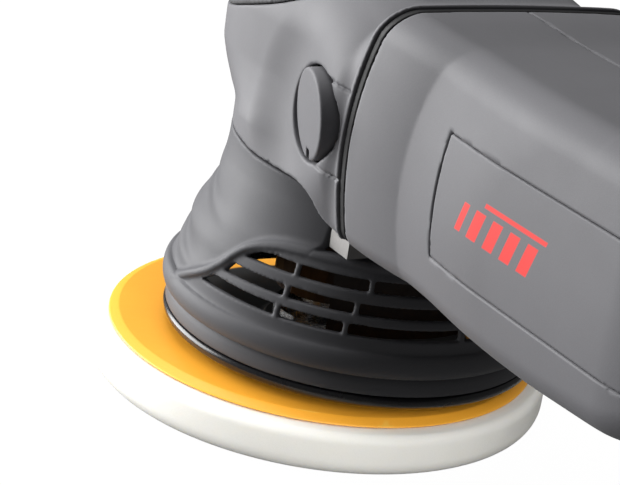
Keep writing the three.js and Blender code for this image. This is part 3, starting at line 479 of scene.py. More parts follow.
def foam():
    made = Shader("foam_cream")
    colour = (0.86, 0.845, 0.79)
    cells = made.noise(1800, 3, 0.7)
    base = made.ramp(made.noise(30, 4), (0.25, shade(colour, 0.96)), (0.75, shade(colour, 1.04)))
    made.link(made.mix(made.span(cells, 0, 0.25, 0.5, 0.8), base, shade(colour, 0.86)), "Base Color")
    made.link(made.span(cells, 0.5, 0.68), "Roughness")
    made.set(Subsurface_Weight=0.25, Subsurface_Scale=0.004, Subsurface_Radius=(1, 0.9, 0.7))
    made.bump((cells, 0.00004), (made.noise(120, 4), 0.00008))
    return made.material


# Painted shade: the near-black colour and the radii where it ends, for the plate's middle in the shroud's
# shadow.
SHADE_BLACK_UNDER_SHROUD = (0.02, 0.02, 0.02)
SHADE_EDGE_UNDER_SHROUD = (48.5 * MM, 49.5 * MM)


def orange_board(centre):
    """Orange, with painted shade: a near-black middle stands in for the shadow under the shroud."""
    made = Shader("core_orange")
    parts = made.nodes.new("ShaderNodeSeparateXYZ")
    made.links.new(made.place, parts.inputs[0])
    squares = []
    for axis, middle in zip("XY", centre):
        offset = made.math("SUBTRACT", parts.outputs[axis], middle * MM)
        squares.append(made.math("MULTIPLY", offset, offset))
    radius = made.math("SQRT", made.math("ADD", *squares))
    # Painted shadow mask: 0 in the shaded middle under the shroud, 1 outside it.
    outside = made.span(radius, 0, 1, *SHADE_EDGE_UNDER_SHROUD)
    # flat is the board's own orange; edge is a lighter orange painted on the sharp edges as a highlight for
    # the lit rim.
    flat, edge = (0.95, 0.41, 0.03), (0.98, 0.56, 0.09)
    base = made.ramp(made.noise(26, 4), (0.3, shade(flat, 0.95)), (0.7, shade(flat, 1.03)))
    speck = made.span(made.noise(2200, 2), 0, 0.18, 0.45, 0.8)
    edge_highlit = made.mix(made.math("MULTIPLY", made.edges(0.5, 0.56), 0.7), base, edge)
    specked = made.mix(speck, edge_highlit, shade(flat, 0.75))
    made.link(made.mix(outside, SHADE_BLACK_UNDER_SHROUD, specked), "Base Color")
    made.link(made.span(made.noise(300, 4), 0.36, 0.52), "Roughness")
    made.bump((made.noise(2500, 2), 0.00001), (made.noise(150, 3), 0.00003))
    return made.material


def hook_pile():
    made = Shader("hook_pile")
    pile = made.noise(2400, 2, 0.7)
    made.link(made.ramp(pile, (0.35, (0.66, 0.66, 0.63)), (0.7, (0.93, 0.92, 0.88))), "Base Color")
    made.link(made.span(pile, 0.85, 1.0), "Roughness")
    made.set(Sheen_Weight=0.3, Sheen_Roughness=0.6)
    made.bump((pile, 0.0004))
    return made.material


def windings():
    made = Shader("copper_windings")
    wave = made.nodes.new("ShaderNodeTexWave")
    wave.inputs["Scale"].default_value = 420
    wave.inputs["Distortion"].default_value = 1.4
    made.links.new(made.place, wave.inputs["Vector"])
    wires = made.ramp(wave.outputs["Fac"], (0.1, (0.2, 0.05, 0.015)), (0.8, (0.72, 0.26, 0.1)))
    made.link(wires, "Base Color")
    made.link(made.span(made.noise(400, 3), 0.28, 0.5), "Roughness")
    made.set(Metallic=0.9, Coat_Weight=0.5, Coat_Roughness=0.2)
    made.bump((wave.outputs["Fac"], 0.0002))
    return made.material


def laminations():
    made = Shader("steel_laminations")
    wave = made.nodes.new("ShaderNodeTexWave")
    wave.bands_direction = "X"
    wave.inputs["Scale"].default_value = 320
    made.links.new(made.place, wave.inputs["Vector"])
    sheets = made.ramp(wave.outputs["Fac"], (0.2, (0.1, 0.1, 0.105)), (0.8, (0.38, 0.38, 0.39)))
    made.link(sheets, "Base Color")
    made.link(made.span(made.noise(200, 3), 0.35, 0.55), "Roughness")
    made.set(Metallic=0.9)
    made.bump((wave.outputs["Fac"], 0.00012))
    return made.material


SHELL_GREY = (0.125, 0.124, 0.133)
STRIPE_RED = (0.72, 0.035, 0.03)


def in_band(made, value, low, high, soft=0.15 * MM):
    rise = made.span(value, 0, 1, low - soft, low + soft)
    fall = made.span(value, 1, 0, high - soft, high + soft)
    return made.math("MULTIPLY", rise, fall)


MARK_LEAN = 0.35
MARK_MIDDLE = 0.102
STRIPE_START, STRIPE_END = 0.104, 0.138
STRIPE_PITCH = 0.0074
STRIPE_HALF = 0.0021
STRIPE_SPAN = (0.0972, 0.1055)
LINE_START = 0.112
LINE_SPAN = (0.1072, 0.1085)


def panel_finish(name):
    """The shell plastic with plain slanted stripes and one line over them."""
    made = Shader(name)
    parts = made.nodes.new("ShaderNodeSeparateXYZ")
    made.links.new(made.place, parts.inputs[0])
    x, z = parts.outputs["X"], parts.outputs["Z"]
    lean = made.math("MULTIPLY", made.math("SUBTRACT", z, MARK_MIDDLE), MARK_LEAN)
    leaned = made.math("SUBTRACT", x, lean)
    stripes = made.math("PINGPONG", made.math("SUBTRACT", leaned, STRIPE_START + 0.0005), STRIPE_PITCH / 2)
    stripe = in_band(made, stripes, -0.001, STRIPE_HALF)
    length = in_band(made, leaned, STRIPE_START, STRIPE_END)
    field = made.math("MULTIPLY", length, in_band(made, z, *STRIPE_SPAN))
    line = made.math("MULTIPLY", in_band(made, leaned, LINE_START, STRIPE_END), in_band(made, z, *LINE_SPAN))
    mark = made.math("MAXIMUM", made.math("MULTIPLY", stripe, field), line, True)
    base = made.ramp(made.noise(22, 3), (0.3, shade(SHELL_GREY, 0.93)), (0.7, shade(SHELL_GREY, 1.07)))
    speck = made.span(made.noise(2600, 2), 0, 0.22, 0.35, 0.8)
    dusty = made.mix(speck, base, shade(SHELL_GREY, 1.35))
    made.link(made.mix(mark, dusty, STRIPE_RED), "Base Color")
    made.link(made.span(made.noise(60, 4), 0.51, 0.63), "Roughness")
    made.set(Sheen_Weight=0.04, Sheen_Roughness=0.45, Specular_IOR_Level=0.3)
    made.bump((made.noise(4200, 1), 0.00002))
    return made.material


SHELL = plastic("shell_soft_grey", SHELL_GREY, 0.56, sheen=0.04)
SHROUD = plastic("shroud_grey", (0.1, 0.1, 0.107), 0.55, grain=0.000024, specular=0.22)
PALM = plastic("palm_rubber", (0.06, 0.06, 0.064), 0.62, grain=0.00004, sheen=0.15)
GLOSS = plastic(
    "ring_gloss_black", (0.012, 0.012, 0.014), 0.26, grain=0.000003, wear=0.3, coat=0.05, specular=0.45
)
SEAL = plastic("seal_rubber", (0.006, 0.006, 0.007), 0.6, grain=0.00001, wear=0.1)
CONTROL = plastic("control_black", (0.018, 0.018, 0.02), 0.42, wear=0.3)
PANEL_LOOK = panel_finish("panel_soft_grey")
NYLON = plastic("nylon_black", (0.02, 0.02, 0.02), 0.5)
CARBON = plastic("carbon_brush_grey", (0.03, 0.03, 0.032), 0.6)
CASTING = metal("cast_aluminium", (0.62, 0.6, 0.59), 0.38, pitted=0.00003)
# Painted shade: the gear case is dark grey to stand in for the shadow under the head cover, not its own bare
# casting colour.
GEAR_CASE_SHADE_GREY = metal("gear_case_painted_shade", (0.2, 0.195, 0.19), 0.5, pitted=0.00003)
STEEL = metal("ground_steel", (0.56, 0.57, 0.58), 0.24, brushed=(1, 1, 14))
SHAFT_STEEL = metal("turned_steel", (0.56, 0.57, 0.58), 0.24, brushed=(14, 1, 1))
IRON = metal("counterweight_iron", (0.07, 0.06, 0.055), 0.5, pitted=0.00005)
BRASS = metal("brass_fittings", (0.75, 0.52, 0.2), 0.28)
FOAM = foam()
HOOK = hook_pile()
COPPER = windings()
LAMINATED = laminations()


def finish_piece(made, look, body, nodes):
    made.data.materials.clear()
    made.data.materials.append(look)
    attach(made, body)
    if nodes:
        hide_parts(*nodes)
    return made


# ---- Outer forms ----

WALL = 3.0
GAP = 0.35

CASE_HALF = smooth_curve(
    [(30, 44), (165, 44), (190, 39.5), (215, 30.5), (240, 26.5), (320, 27.5), (342, 25.5), (350, 23)]
)
CASE_TOP = smooth_curve(
    [
        (30, 143), (62, 142.3), (88, 140.4), (110, 139.8), (165, 139.5),
        (190, 136.5), (215, 132), (240, 130), (320, 130), (350, 127),
    ]
)
CASE_BOTTOM = smooth_curve(
    [
        (30, 71.5), (60, 70.4), (86, 69.6), (111, 68.3), (134, 67.9), (154, 68.5),
        (165, 69), (190, 74), (215, 81), (240, 84), (320, 84), (350, 86),
    ]
)
CASE_TOP_RADIUS = smooth_curve([(30, 9), (165, 9), (215, 18), (350, 19)])
CASE_BOTTOM_RADIUS = smooth_curve([(30, 4), (60, 5), (110, 7), (165, 9), (215, 20), (350, 19)])
CASE_CROWN = 1.6
TOP_CROWN = 0.96
CASE_ROUND = 8
CASE_LOW_CROWN = 2.6
COVE_LENGTH = 24
COVE_DEPTH = 2.6
CASE_START = 32
CASE_END = 350

SEAL_X, SEAL_Z = 148.6, 97
SEAL_RADIUS = 100
SEAL_WIDTH = 2.4
SEAL_END = 71.9
LIP_WIDTH = 1.5


def seal_reach(x, z):
    """Distance from the middle of the seal's arc in side view."""
    return np.hypot(x - SEAL_X, z - SEAL_Z)


def case_form(x, y, z):
    behind = np.where(x > SEAL_X, 3 * COVE_LENGTH, np.maximum(SEAL_RADIUS - seal_reach(x, z), 0))
    cove = COVE_DEPTH * np.minimum(behind / COVE_LENGTH, 1) ** 2
    cove = cove * (1 - smoothstep(COVE_LENGTH, 2.7 * COVE_LENGTH, behind))
    top, bottom = CASE_TOP(x), CASE_BOTTOM(x)
    middle, rise = (top + bottom) / 2, (top - bottom) / 2
    crown = np.where(z > middle, CASE_CROWN, CASE_LOW_CROWN)
    half = CASE_HALF(x) - cove - crown * ((z - middle) / rise) ** 2
    top = top - TOP_CROWN * (y / half) ** 2
    radius = np.where(z > middle, CASE_TOP_RADIUS(x), CASE_BOTTOM_RADIUS(x))
    du = np.abs(y) - half + radius
    dv = np.where(z > middle, z - top, bottom - z) + radius
    side = np.minimum(np.maximum(du, dv), 0) + np.hypot(np.maximum(du, 0), np.maximum(dv, 0)) - radius
    return both(both(side, x - CASE_END, CASE_ROUND), CASE_START - x, CASE_ROUND)


HEAD_NOSE = smooth_curve(
    [
        (50, 46.8), (89, 46.8), (92, 48.5), (95.6, 53.5), (101.7, 56.6),
        (106.5, 58.5), (114, 58.8), (120, 57.8), (146, 57),
    ]
)
HEAD_HALF = smooth_curve([(50, 46.8), (89, 46.8), (95.6, 45.2), (101.7, 44), (106.5, 43.6), (146, 43.6)])
HEAD_POWER = smooth_curve([(50, 2), (90, 2), (95.6, 2.3), (101.7, 2.8), (106.5, 3), (146, 3)])
HEAD_TAIL = 84
HEAD_TOP = 146
HEAD_CROWN = 0.0016
HEAD_ROUND = 22

PLUG_RADIUS = 13.4
PLUG_X, PLUG_Z = 40.3, 102.5
PLUG_FACE = 47.4
PLUG_DEPTH = 11
PLUG_LEAN = math.radians(15)
PLUG_DROP = math.radians(6)
SEAT_LEAN = math.radians(7)
SEAT_X = 15
SEAT_FACE = 42.2
SEAT_SPREAD = 33
SEAT_RIM = 1.1
SEAT_START = (24, 34)


def plug_axes(x, y, z):
    """Along the leaned axis of the plug on that side, and off it to the front and up."""
    side = np.abs(y)
    proud = side * math.cos(PLUG_LEAN) - (x - PLUG_X) * math.sin(PLUG_LEAN) - PLUG_FACE
    across = (x - PLUG_X) * math.cos(PLUG_LEAN) + side * math.sin(PLUG_LEAN)
    along = PLUG_FACE + proud * math.cos(PLUG_DROP) - (z - PLUG_Z) * math.sin(PLUG_DROP)
    return along, across, (z - PLUG_Z) * math.cos(PLUG_DROP) + proud * math.sin(PLUG_DROP)


def head_form(x, y, z):
    reach = np.where(x < 0, HEAD_NOSE(z), HEAD_TAIL)
    power = HEAD_POWER(z)
    share = ((np.abs(x) / reach) ** power + (np.abs(y) / HEAD_HALF(z)) ** power + 1e-12) ** (1 / power)
    far = np.hypot(x, y)
    plan = np.where(share > 0.5, far * (1 - 1 / np.maximum(share, 0.5)), -far - 20)
    top = HEAD_TOP - HEAD_CROWN * far**2
    shell = both(plan, z - top, HEAD_ROUND)
    along, across, rise = plug_axes(x, y, z)
    seat = np.abs(y) * math.cos(SEAT_LEAN) - (x - SEAT_X) * math.sin(SEAT_LEAN) - SEAT_FACE
    share = 1 - smoothstep(PLUG_RADIUS + SEAT_RIM, SEAT_SPREAD, np.hypot(across, rise))
    share = share * smoothstep(*SEAT_START, along)
    return shell + share * (seat - shell)


HEAD_BLEND = (SEAL_RADIUS + 11, SEAL_RADIUS + 3.5)
SEAL_SIDE = 80  # behind this only the motor housing counts


def outer_form(x, y, z):
    """The head, changing smoothly into the motor housing's shape before the seal."""
    share = smoothstep(*HEAD_BLEND, seal_reach(x, z))
    share = np.where(x > SEAL_SIDE, 1, share)
    return (1 - share) * head_form(x, y, z) + share * case_form(x, y, z)


SEAM_HEIGHT = smooth_curve(
    [
        (-70, 86), (-21, 83.3), (-7, 82.5), (3.6, 81.2), (14, 80.6), (24, 80.6),
        (30, 79.8), (33.5, 78.3), (36.8, 74.9), (40.5, 72.9), (45, 71.6), (70, 71.2),
    ]
)
SHROUD_TOP = smooth_curve(
    [
        (-70, 86), (-21, 83.3), (-7, 82.5), (3.6, 81.2), (14, 80.4),
        (24, 79.5), (31, 78), (33.4, 72), (34.2, 62.6), (70, 62.5),
    ]
)
CAP_HEIGHT = smooth_curve([(-70, 113), (-40, 116), (-20, 121), (4, 129), (18, 137), (23, 150)])


def curve_side(height, x, z):
    """About the distance above a side-view curve."""
    slope = height(x + 0.5) - height(x - 0.5)
    return (z - height(x)) / np.sqrt(1 + slope * slope)


def segment_distance(u, v, start, end):
    du, dv = end[0] - start[0], end[1] - start[1]
    share = np.clip(((u - start[0]) * du + (v - start[1]) * dv) / (du * du + dv * dv), 0, 1)
    return np.hypot(u - start[0] - share * du, v - start[1] - share * dv)


# ---- Head ----

PARTING_TOP = ((32, 115.8), (46, 114.7))
PARTING_LOW = ((31, 89.6), (46, 88.9))
PARTING_DEPTH = 0.7
LIP_RISE = 0.55


def head_shell(x, y, z):
    outer = outer_form(x, y, z)
    reach = seal_reach(x, z)
    edge = SEAL_RADIUS + SEAL_WIDTH + GAP
    lip = LIP_RISE * smoothstep(edge + LIP_WIDTH + 0.35, edge + LIP_WIDTH - 0.35, reach)
    skin = outer - np.where(x < SEAL_SIDE, lip, 0)
    for line in (PARTING_TOP, PARTING_LOW):
        line_distance = segment_distance(x, z, *line) + np.where(np.abs(y) > 20, 0, 5)
        skin = skin + PARTING_DEPTH * (1 - smoothstep(0.15, 0.55, line_distance))
    shell = both(skin, -(outer + WALL), 0.3)
    shell = both(shell, edge - reach, 0.3)
    return both(shell, -curve_side(SEAM_HEIGHT, x, z) + GAP, 0.35)


PLUG_CLEARANCE = 0.8
PLUG_HOLE_START = 22


def plug_hole(x, y, z):
    along, across, rise = plug_axes(x, y, z)
    return both(np.hypot(across, rise) - PLUG_RADIUS - PLUG_CLEARANCE, PLUG_HOLE_START - along)


def head_cover_form(x, y, z):
    body = both(head_shell(x, y, z), curve_side(CAP_HEIGHT, x, z) + 0.2, 0.35)
    return without(body, plug_hole(x, y, z), 0.5)


def top_cap_form(x, y, z):
    return both(head_shell(x, y, z), 0.2 - curve_side(CAP_HEIGHT, x, z), 0.45)


def plug_form(side):
    def form(x, y, z):
        along, across, rise = plug_axes(x, y, z)
        radius = np.hypot(across, rise)
        disc = both(radius - PLUG_RADIUS, along - PLUG_FACE + 0.0016 * radius**2, 0.7)
        disc = both(disc, PLUG_FACE - PLUG_DEPTH - along, 0.5)
        tab = rounded_box(across - 1.5, rise + PLUG_RADIUS - 1.2, 1.6, 2.2, 0.5)
        disc = without(disc, both(tab, PLUG_FACE - 2.4 - along), 0.3)
        return np.maximum(disc, -side * y + 5)

    return form


BAND_END = 90  # leaves only the front of the seal's circle
SEAL_SUNK = 0.2
FLANGE_SUNK = 0.5
FLANGE_EXTRA = 0.5


def seal_form(x, y, z):
    reach = seal_reach(x, z)
    outer = outer_form(x, y, z) + SEAL_SUNK
    band = both(reach - SEAL_RADIUS - SEAL_WIDTH, SEAL_RADIUS - reach)
    band = np.maximum(np.maximum(band, x - BAND_END), SEAL_END - z)
    return both(both(outer, -(outer + WALL), 0.3), band, 0.4)


def flange_form(x, y, z):
    """The strip of bare casting between the ends of the seal."""
    reach = seal_reach(x, z)
    outer = outer_form(x, y, z) + FLANGE_SUNK
    band = both(reach - SEAL_RADIUS - SEAL_WIDTH - FLANGE_EXTRA, SEAL_RADIUS + 0.1 - reach)
    band = np.maximum(np.maximum(band, x - BAND_END), z - SEAL_END + GAP)
    return both(both(outer, -(outer + WALL), 0.3), band, 0.3)


# ---- Motor housing, panels and handle ----

PANEL_FRONT, PANEL_REAR = 90.4, 186
PANEL_BOTTOM, PANEL_TOP = 85, 119
PANEL_SLANT = 8
PANEL_BOW = 1.6
PANEL_DEPTH = 2
BRUSH_X, MOTOR_Z = 162.5, 102
CAP_RADIUS = 6.5
HANDLE_START = 215
INTAKE_X = [192.5, 197.5, 202.5, 207.5]
INTAKE_Z, INTAKE_LEAN = 104, 0.25
INTAKE_HALF = (1.3, 11)


def panel_outline(x, z):
    bow = PANEL_BOW * ((z - MOTOR_Z) / 17) ** 2 * np.where(x < 130, 1, 0)
    low = [(PANEL_FRONT, PANEL_BOTTOM), (PANEL_REAR - PANEL_SLANT, PANEL_BOTTOM)]
    points = low + [(PANEL_REAR, PANEL_TOP), (PANEL_FRONT, PANEL_TOP)]
    return outline_distance(points, x - bow, z)


def half_of(side, y):
    return GAP / 2 - side * y


def housing_form(side):
    def form(x, y, z):
        outer = case_form(x, y, z)
        shell = both(outer, -(outer + WALL), 0.3)
        shell = both(shell, half_of(side, y), 0.3)
        shell = both(shell, seal_reach(x, z) - SEAL_RADIUS + GAP + np.where(x > 180, -200, 0), 0.5)
        shell = both(shell, x - HANDLE_START + GAP / 2, 0.4)
        clearance = np.where(x < 93, GAP, 0.15)
        pocket = both(panel_outline(x, z) - clearance, -(outer + PANEL_DEPTH + GAP))
        shell = without(shell, np.maximum(pocket, 20 - side * y), 0.2)
        brush = both(np.hypot(x - BRUSH_X, z - MOTOR_Z) - CAP_RADIUS - 0.3, 25 - side * y)
        shell = without(shell, brush, 0.3)
        for place in INTAKE_X:
            rise = z - INTAKE_Z - INTAKE_LEAN * (place - 200)
            slot = rounded_box(x - place, rise, *INTAKE_HALF, 1.2)
            shell = without(shell, np.maximum(slot, 15 - side * y), 0.4)
        return shell

    return form


def panel_form(side):
    def form(x, y, z):
        outer = case_form(x, y, z)
        slab = both(outer + 0.1, -(outer + PANEL_DEPTH), 0.3)
        slab = both(slab, panel_outline(x, z), 0.2)
        return np.maximum(slab, 20 - side * y)

    return form


TRIGGER_X, TRIGGER_Z = 232, 93
TRIGGER_LENGTH = 52
TRIGGER_HALF = 8.5
BUTTON_X, BUTTON_Z = 252, 107
BUTTON_RADIUS = 4.5
DIAL_X, DIAL_Z = 319, 121
DIAL_RADIUS = 12
DIAL_HALF = 3.5
INLET_RADIUS = 8
INLET_BORE = 4.2
HANDLE_Z = 107
CASE_SCREWS = [(202, 86), (202, 121), (296, 91), (296, 124)]


def handle_form(side):
    def form(x, y, z):
        outer = case_form(x, y, z)
        shell = both(outer, -(outer + WALL), 0.3)
        shell = both(shell, half_of(side, y), 0.3)
        shell = both(shell, HANDLE_START + GAP / 2 - x, 0.4)
        slot = rounded_box(x - TRIGGER_X - 24, y, 31, TRIGGER_HALF + 0.5, 1.5)
        shell = without(shell, np.maximum(slot, z - TRIGGER_Z - 1), 0.5)
        slot = rounded_box(x - DIAL_X, y, DIAL_RADIUS + 0.6, DIAL_HALF + 0.5, 1.2)
        shell = without(shell, np.maximum(slot, DIAL_Z - z), 0.5)
        hole = np.hypot(y, z - HANDLE_Z) - INLET_RADIUS - 0.3
        shell = without(shell, np.maximum(hole, 330 - x), 0.4)
        if side < 0:
            hole = np.hypot(x - BUTTON_X, z - BUTTON_Z) - BUTTON_RADIUS - 0.3
            shell = without(shell, np.maximum(hole, 15 + y), 0.4)
        else:
            for place in CASE_SCREWS[2:]:
                hole = np.hypot(x - place[0], z - place[1]) - 4.3
                shell = without(shell, np.maximum(hole, 15 - y), 0.4)
        grip = np.abs(((x - 268) / 9) % 1 - 0.5) * 9 - 0.5
        band = np.maximum(np.maximum(grip, 262 - x), x - 308)
        rib = np.maximum(band, np.abs(z - 107) - 11)
        return without(shell, np.maximum(rib, -(outer + 0.5)), 0.25)

    return form


def trigger_form(x, y, z):
    px, pz, end = TRIGGER_X, TRIGGER_Z, TRIGGER_X + TRIGGER_LENGTH
    outline = [
        (px - 4, pz - 2), (px - 3, pz - 12), (px + 4, pz - 16.5), (px + 12, pz - 16), (px + 26, pz - 13.5),
        (end - 10, pz - 14), (end - 1, pz - 16), (end, pz - 13), (end, pz - 6), (px + 8, pz - 4),
        (px + 4, pz + 2.6), (px - 2, pz + 3.2),
    ]
    body = outline_distance(outline, x, z) + 1.0
    body = both(body, np.abs(y) - TRIGGER_HALF + 1.0, 2.0) - 1.0
    ribs = np.maximum(np.abs(((x - px) / 4) % 1 - 0.5) * 4 - 0.5, np.abs(y) - 5.5)
    ribs = np.maximum(np.maximum(ribs, px + 14 - x), x - end + 8)
    return without(body, np.maximum(ribs, -(body + 0.5)), 0.25)


def dial_form(x, y, z):
    radius = np.hypot(x - DIAL_X, z - DIAL_Z)
    turn = np.arctan2(z - DIAL_Z, x - DIAL_X)
    rim = DIAL_RADIUS - 0.1 - 0.45 * (1 - np.cos(18 * turn)) / 2
    body = both(radius - rim, np.abs(y) - DIAL_HALF, 0.7)
    return without(body, np.maximum(radius - 8, DIAL_HALF - 0.8 - np.abs(y)), 0.3)


def button_form(x, y, z):
    radius = np.hypot(x - BUTTON_X, z - BUTTON_Z)
    post = both(radius - BUTTON_RADIUS, -y - 29 + 0.03 * radius**2, 0.8)
    post = both(post, y + 17, 0.3)
    flange = both(radius - BUTTON_RADIUS - 2, np.maximum(-y - 20.5, y + 17), 0.4)
    ring = np.maximum(np.abs(radius - 2.4) - 0.3, 28.1 + y)
    return without(either(post, flange, 0.3), ring, 0.1)


def screw_form(place):
    def form(x, y, z):
        radius = np.hypot(x - place[0], z - place[1])
        shank = both(radius - 2, np.maximum(-10 - y, y - 17), 0.3)
        head = both(radius - 4, np.maximum(16.3 - y, y - 19 + 0.02 * radius**2), 0.4)
        cross = np.minimum(
            np.maximum(np.abs(x - place[0]) - 0.5, np.abs(z - place[1]) - 2.2),
            np.maximum(np.abs(z - place[1]) - 0.5, np.abs(x - place[0]) - 2.2),
        )
        return without(np.minimum(shank, head), np.maximum(cross, 17.4 - y), 0.1)

    return form


# ---- Shroud ----

ROUND_RADIUS = smooth_curve(
    [
        (37.4, 60.3), (38.5, 59.5), (40, 59), (43, 58.5), (46, 57.3), (49, 56.4), (53, 55.6), (56, 54.4),
        (60, 52), (63, 50.6), (67, 49.4), (71, 48.4), (75, 47.5), (80, 47), (90, 46.8),
    ]
)
SKIRT_RADIUS = smooth_curve([(23, 60), (25, 60.3), (27.5, 60), (29.9, 58.8)])
BAND_MIDDLE, BAND_HALF = 33.8, 3.9
BAND_RADIUS = 60.3
BAND_RISE = 1.9
VENT_RADIUS = smooth_curve([(37.4, 61), (42, 60.9), (50, 58.9), (57, 56.6), (62.5, 53.4), (66.5, 50.5)])
ARCH_HEIGHT = smooth_curve(
    [
        (-22, 33.5), (-13, 37.3), (-4, 41.8), (6, 47.6), (10.8, 52), (15.1, 57),
        (18.1, 59.5), (21.5, 61.2), (27.7, 62.8), (34, 63.2), (70, 63.2),
    ]
)
SLOT_ROWS = [(44.3, 0.5, 33.5, 54.3), (50.3, 7, 34.8, 56.5), (56.9, 16, 36.3, 60)]
RIB_HALF = 0.75
SLOT_HALF = 1.75
SLOT_TILT = math.radians(1)
SLOT_WALL = 1.9
SLOT_INNER = 36
SLOT_MARGIN = 3.5
VENT_SUNK = 1.2
HOLLOW_MOST = 61
ARCH_FRONT = -12.9
VENT_START = 36
SCALLOPS = [(40.6, 0.5), (48.6, 1.0), (64.4, 1.0)]


def plan_angle(x, y):
    """Degrees from straight out sideways towards the rear, the same on both sides."""
    return np.degrees(np.arctan2(x, np.abs(y) + 1e-9))


def shroud_radius(x, y, z):
    angle = plan_angle(x, y)
    round_part = ROUND_RADIUS(z)
    fade = smoothstep(8, -22, angle) * smoothstep(-88, -60, angle)
    for height, depth in SCALLOPS:
        middle = height - 0.16 * (angle + 33)
        below = (z - middle) / np.where(z > middle, 4.2, 1.4)
        round_part = round_part - depth * fade * np.exp(-below * below)
    band = BAND_RADIUS + BAND_RISE * np.sqrt(np.clip(1 - ((z - BAND_MIDDLE) / BAND_HALF) ** 2, 0, 1))
    lower = np.where(z > BAND_MIDDLE - BAND_HALF, band, SKIRT_RADIUS(z))
    return np.where(z > BAND_MIDDLE + BAND_HALF, round_part, lower)


def slot_form(x, y, z):
    lifted_x = x * math.cos(SLOT_TILT) - z * math.sin(SLOT_TILT)
    lifted_z = x * math.sin(SLOT_TILT) + z * math.cos(SLOT_TILT)
    angle = plan_angle(lifted_x, y)
    radius = np.hypot(x, y)
    slots = np.full(np.broadcast(x, y, z).shape, 1e3)
    for height, *stops in SLOT_ROWS:
        for start, end in zip(stops, stops[1:] + [90]):
            low, high = start + RIB_HALF, end - RIB_HALF
            middle, half = (low + high) / 2, math.radians(high - low) / 2
            along = np.radians(angle - middle) * radius
            slots = np.minimum(slots, rounded_box(along, lifted_z - height, half * radius, SLOT_HALF, 0.7))
    return np.maximum(slots, SLOT_INNER - radius)


shroud_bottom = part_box("shroud")[0].z / MM


def shroud_form(x, y, z):
    radius = np.hypot(x, y)
    arch = curve_side(ARCH_HEIGHT, x, z)
    arch = np.where(x < ARCH_FRONT, 5, arch)
    wall = radius - shroud_radius(x, y, z)
    sunk = VENT_SUNK * smoothstep(1.8, 3.2, -arch)
    vent = both(radius - VENT_RADIUS(z) + sunk, np.maximum(arch, VENT_START - z), 1.1)
    outer = either(wall, vent, 1.6)
    thick = WALL - (WALL - SLOT_WALL) * smoothstep(0, 4, -arch) * smoothstep(38, 41, z)
    skin = np.where(arch < 0, VENT_RADIUS(z) - VENT_SUNK, ROUND_RADIUS(z))
    hollow = radius - np.minimum(skin, HOLLOW_MOST) + thick
    shell = both(outer, -hollow, 0.4)
    shell = both(shell, shroud_bottom - z, 0.5)
    shell = both(shell, curve_side(SHROUD_TOP, x, z), 0.45)
    cutters = both(slot_form(x, y, z), arch + SLOT_MARGIN, 0.7)
    return without(shell, cutters, 0.35)


# ---- Building ----


def build_plate():
    low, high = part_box("backing_plate_cushion")
    centre = ((low.x + high.x) / 2 / MM, (low.y + high.y) / 2 / MM)
    radius = (high.x - low.x) / 2 / MM
    bottom, top = low.z / MM, high.z / MM
    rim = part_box("hook_face")[1].x / MM - centre[0] + 0.5
    outline = [(9, bottom), (rim, bottom), (rim, 0.8), (rim + 0.6, 0.3)]
    for step in range(1, 13):
        turn = step / 12 * math.pi / 2
        outline.append((rim + 0.6 + (radius - rim - 0.6) * math.sin(turn), 0.3 + 5 * (1 - math.cos(turn))))
    outline += [(radius, 6.5), (radius - 0.1, top - 3.4)]
    for step in range(1, 9):
        turn = step / 8 * math.pi / 2
        outline.append((radius - 0.1 - 2.6 * (1 - math.cos(turn)), top - 3.4 + 3.2 * math.sin(turn)))
    outline += [(radius - 4.6, top - 0.02), (radius - 5.3, top), (9, top)]
    cushion = turned_object("plate_cushion_foam", outline, centre)
    finish_piece(cushion, FOAM, "plate", ["backing_plate_cushion"])

    low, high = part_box("backing_plate_core")
    edge, bottom, top = (high.x - low.x) / 2 / MM, low.z / MM, high.z / MM
    flat = bottom + 2
    outline = [(4.3, bottom), (edge - 0.4, bottom), (edge, bottom + 0.35), (edge - 0.35, bottom + 0.75)]
    outline += [(edge - 2.9, flat - 0.12), (edge - 3.3, flat), (21.5, flat)]
    outline += [(20, flat + 0.4), (19.2, top), (4.3, top)]
    board = turned_object("plate_core_board", filleted(outline, 0.25, 3), centre)
    finish_piece(board, orange_board(centre), "plate", ["backing_plate_core"])

    low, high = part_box("hook_face")
    edge, top = (high.x - low.x) / 2 / MM, high.z / MM
    outline = filleted([(6.5, 0), (edge, 0), (edge, top), (6.5, top)], 0.5)
    pile = turned_object("hook_face_pile", outline, centre)
    finish_piece(pile, HOOK, "plate", ["hook_face"])


def build_ring():
    low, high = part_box("shroud_ring")
    edge, bottom, top = (high.x - low.x) / 2 / MM, low.z / MM, high.z / MM
    outline = [(edge - 4, bottom), (edge - 1.6, bottom), (edge - 0.2, bottom + 1.1)]
    outline += [(edge + 0.3, top - 1), (edge - 0.4, top)]
    made = turned_object("shroud_ring_gloss", filleted(outline + [(edge - 4, top)], 0.5), (0, 0))
    finish_piece(made, GLOSS, "housing", ["shroud_ring"])


def build_gland():
    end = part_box("cord_inlet")[1].x / MM
    outline = [(INLET_BORE, end - 17), (INLET_RADIUS, end - 17), (INLET_RADIUS, end - 2.7)]
    outline += [(INLET_RADIUS + 1.5, end - 2.7)]
    outline += [(INLET_RADIUS + 1.2, end - 1), (INLET_RADIUS - 0.6, end)]
    outline += [(INLET_BORE + 1.2, end), (INLET_BORE, end - 1)]
    made = turned_object("cord_gland_rubber", filleted(outline, 0.4), (0, HANDLE_Z), 96, lying=True)
    finish_piece(made, SEAL, "housing", ["cord_inlet"])


def add_form(name, form, low, high, cell, look, node, slot, body="housing"):
    nodes = [node] if node else []
    finish_piece(form_object(name, form, low, high, cell), look, body, nodes)


def side_span(side, low, high):
    """The corners of a box given for the +Y side, on the wanted side."""
    if side > 0:
        return low, high
    return (low[0], -high[1], low[2]), (high[0], -low[1], high[2])


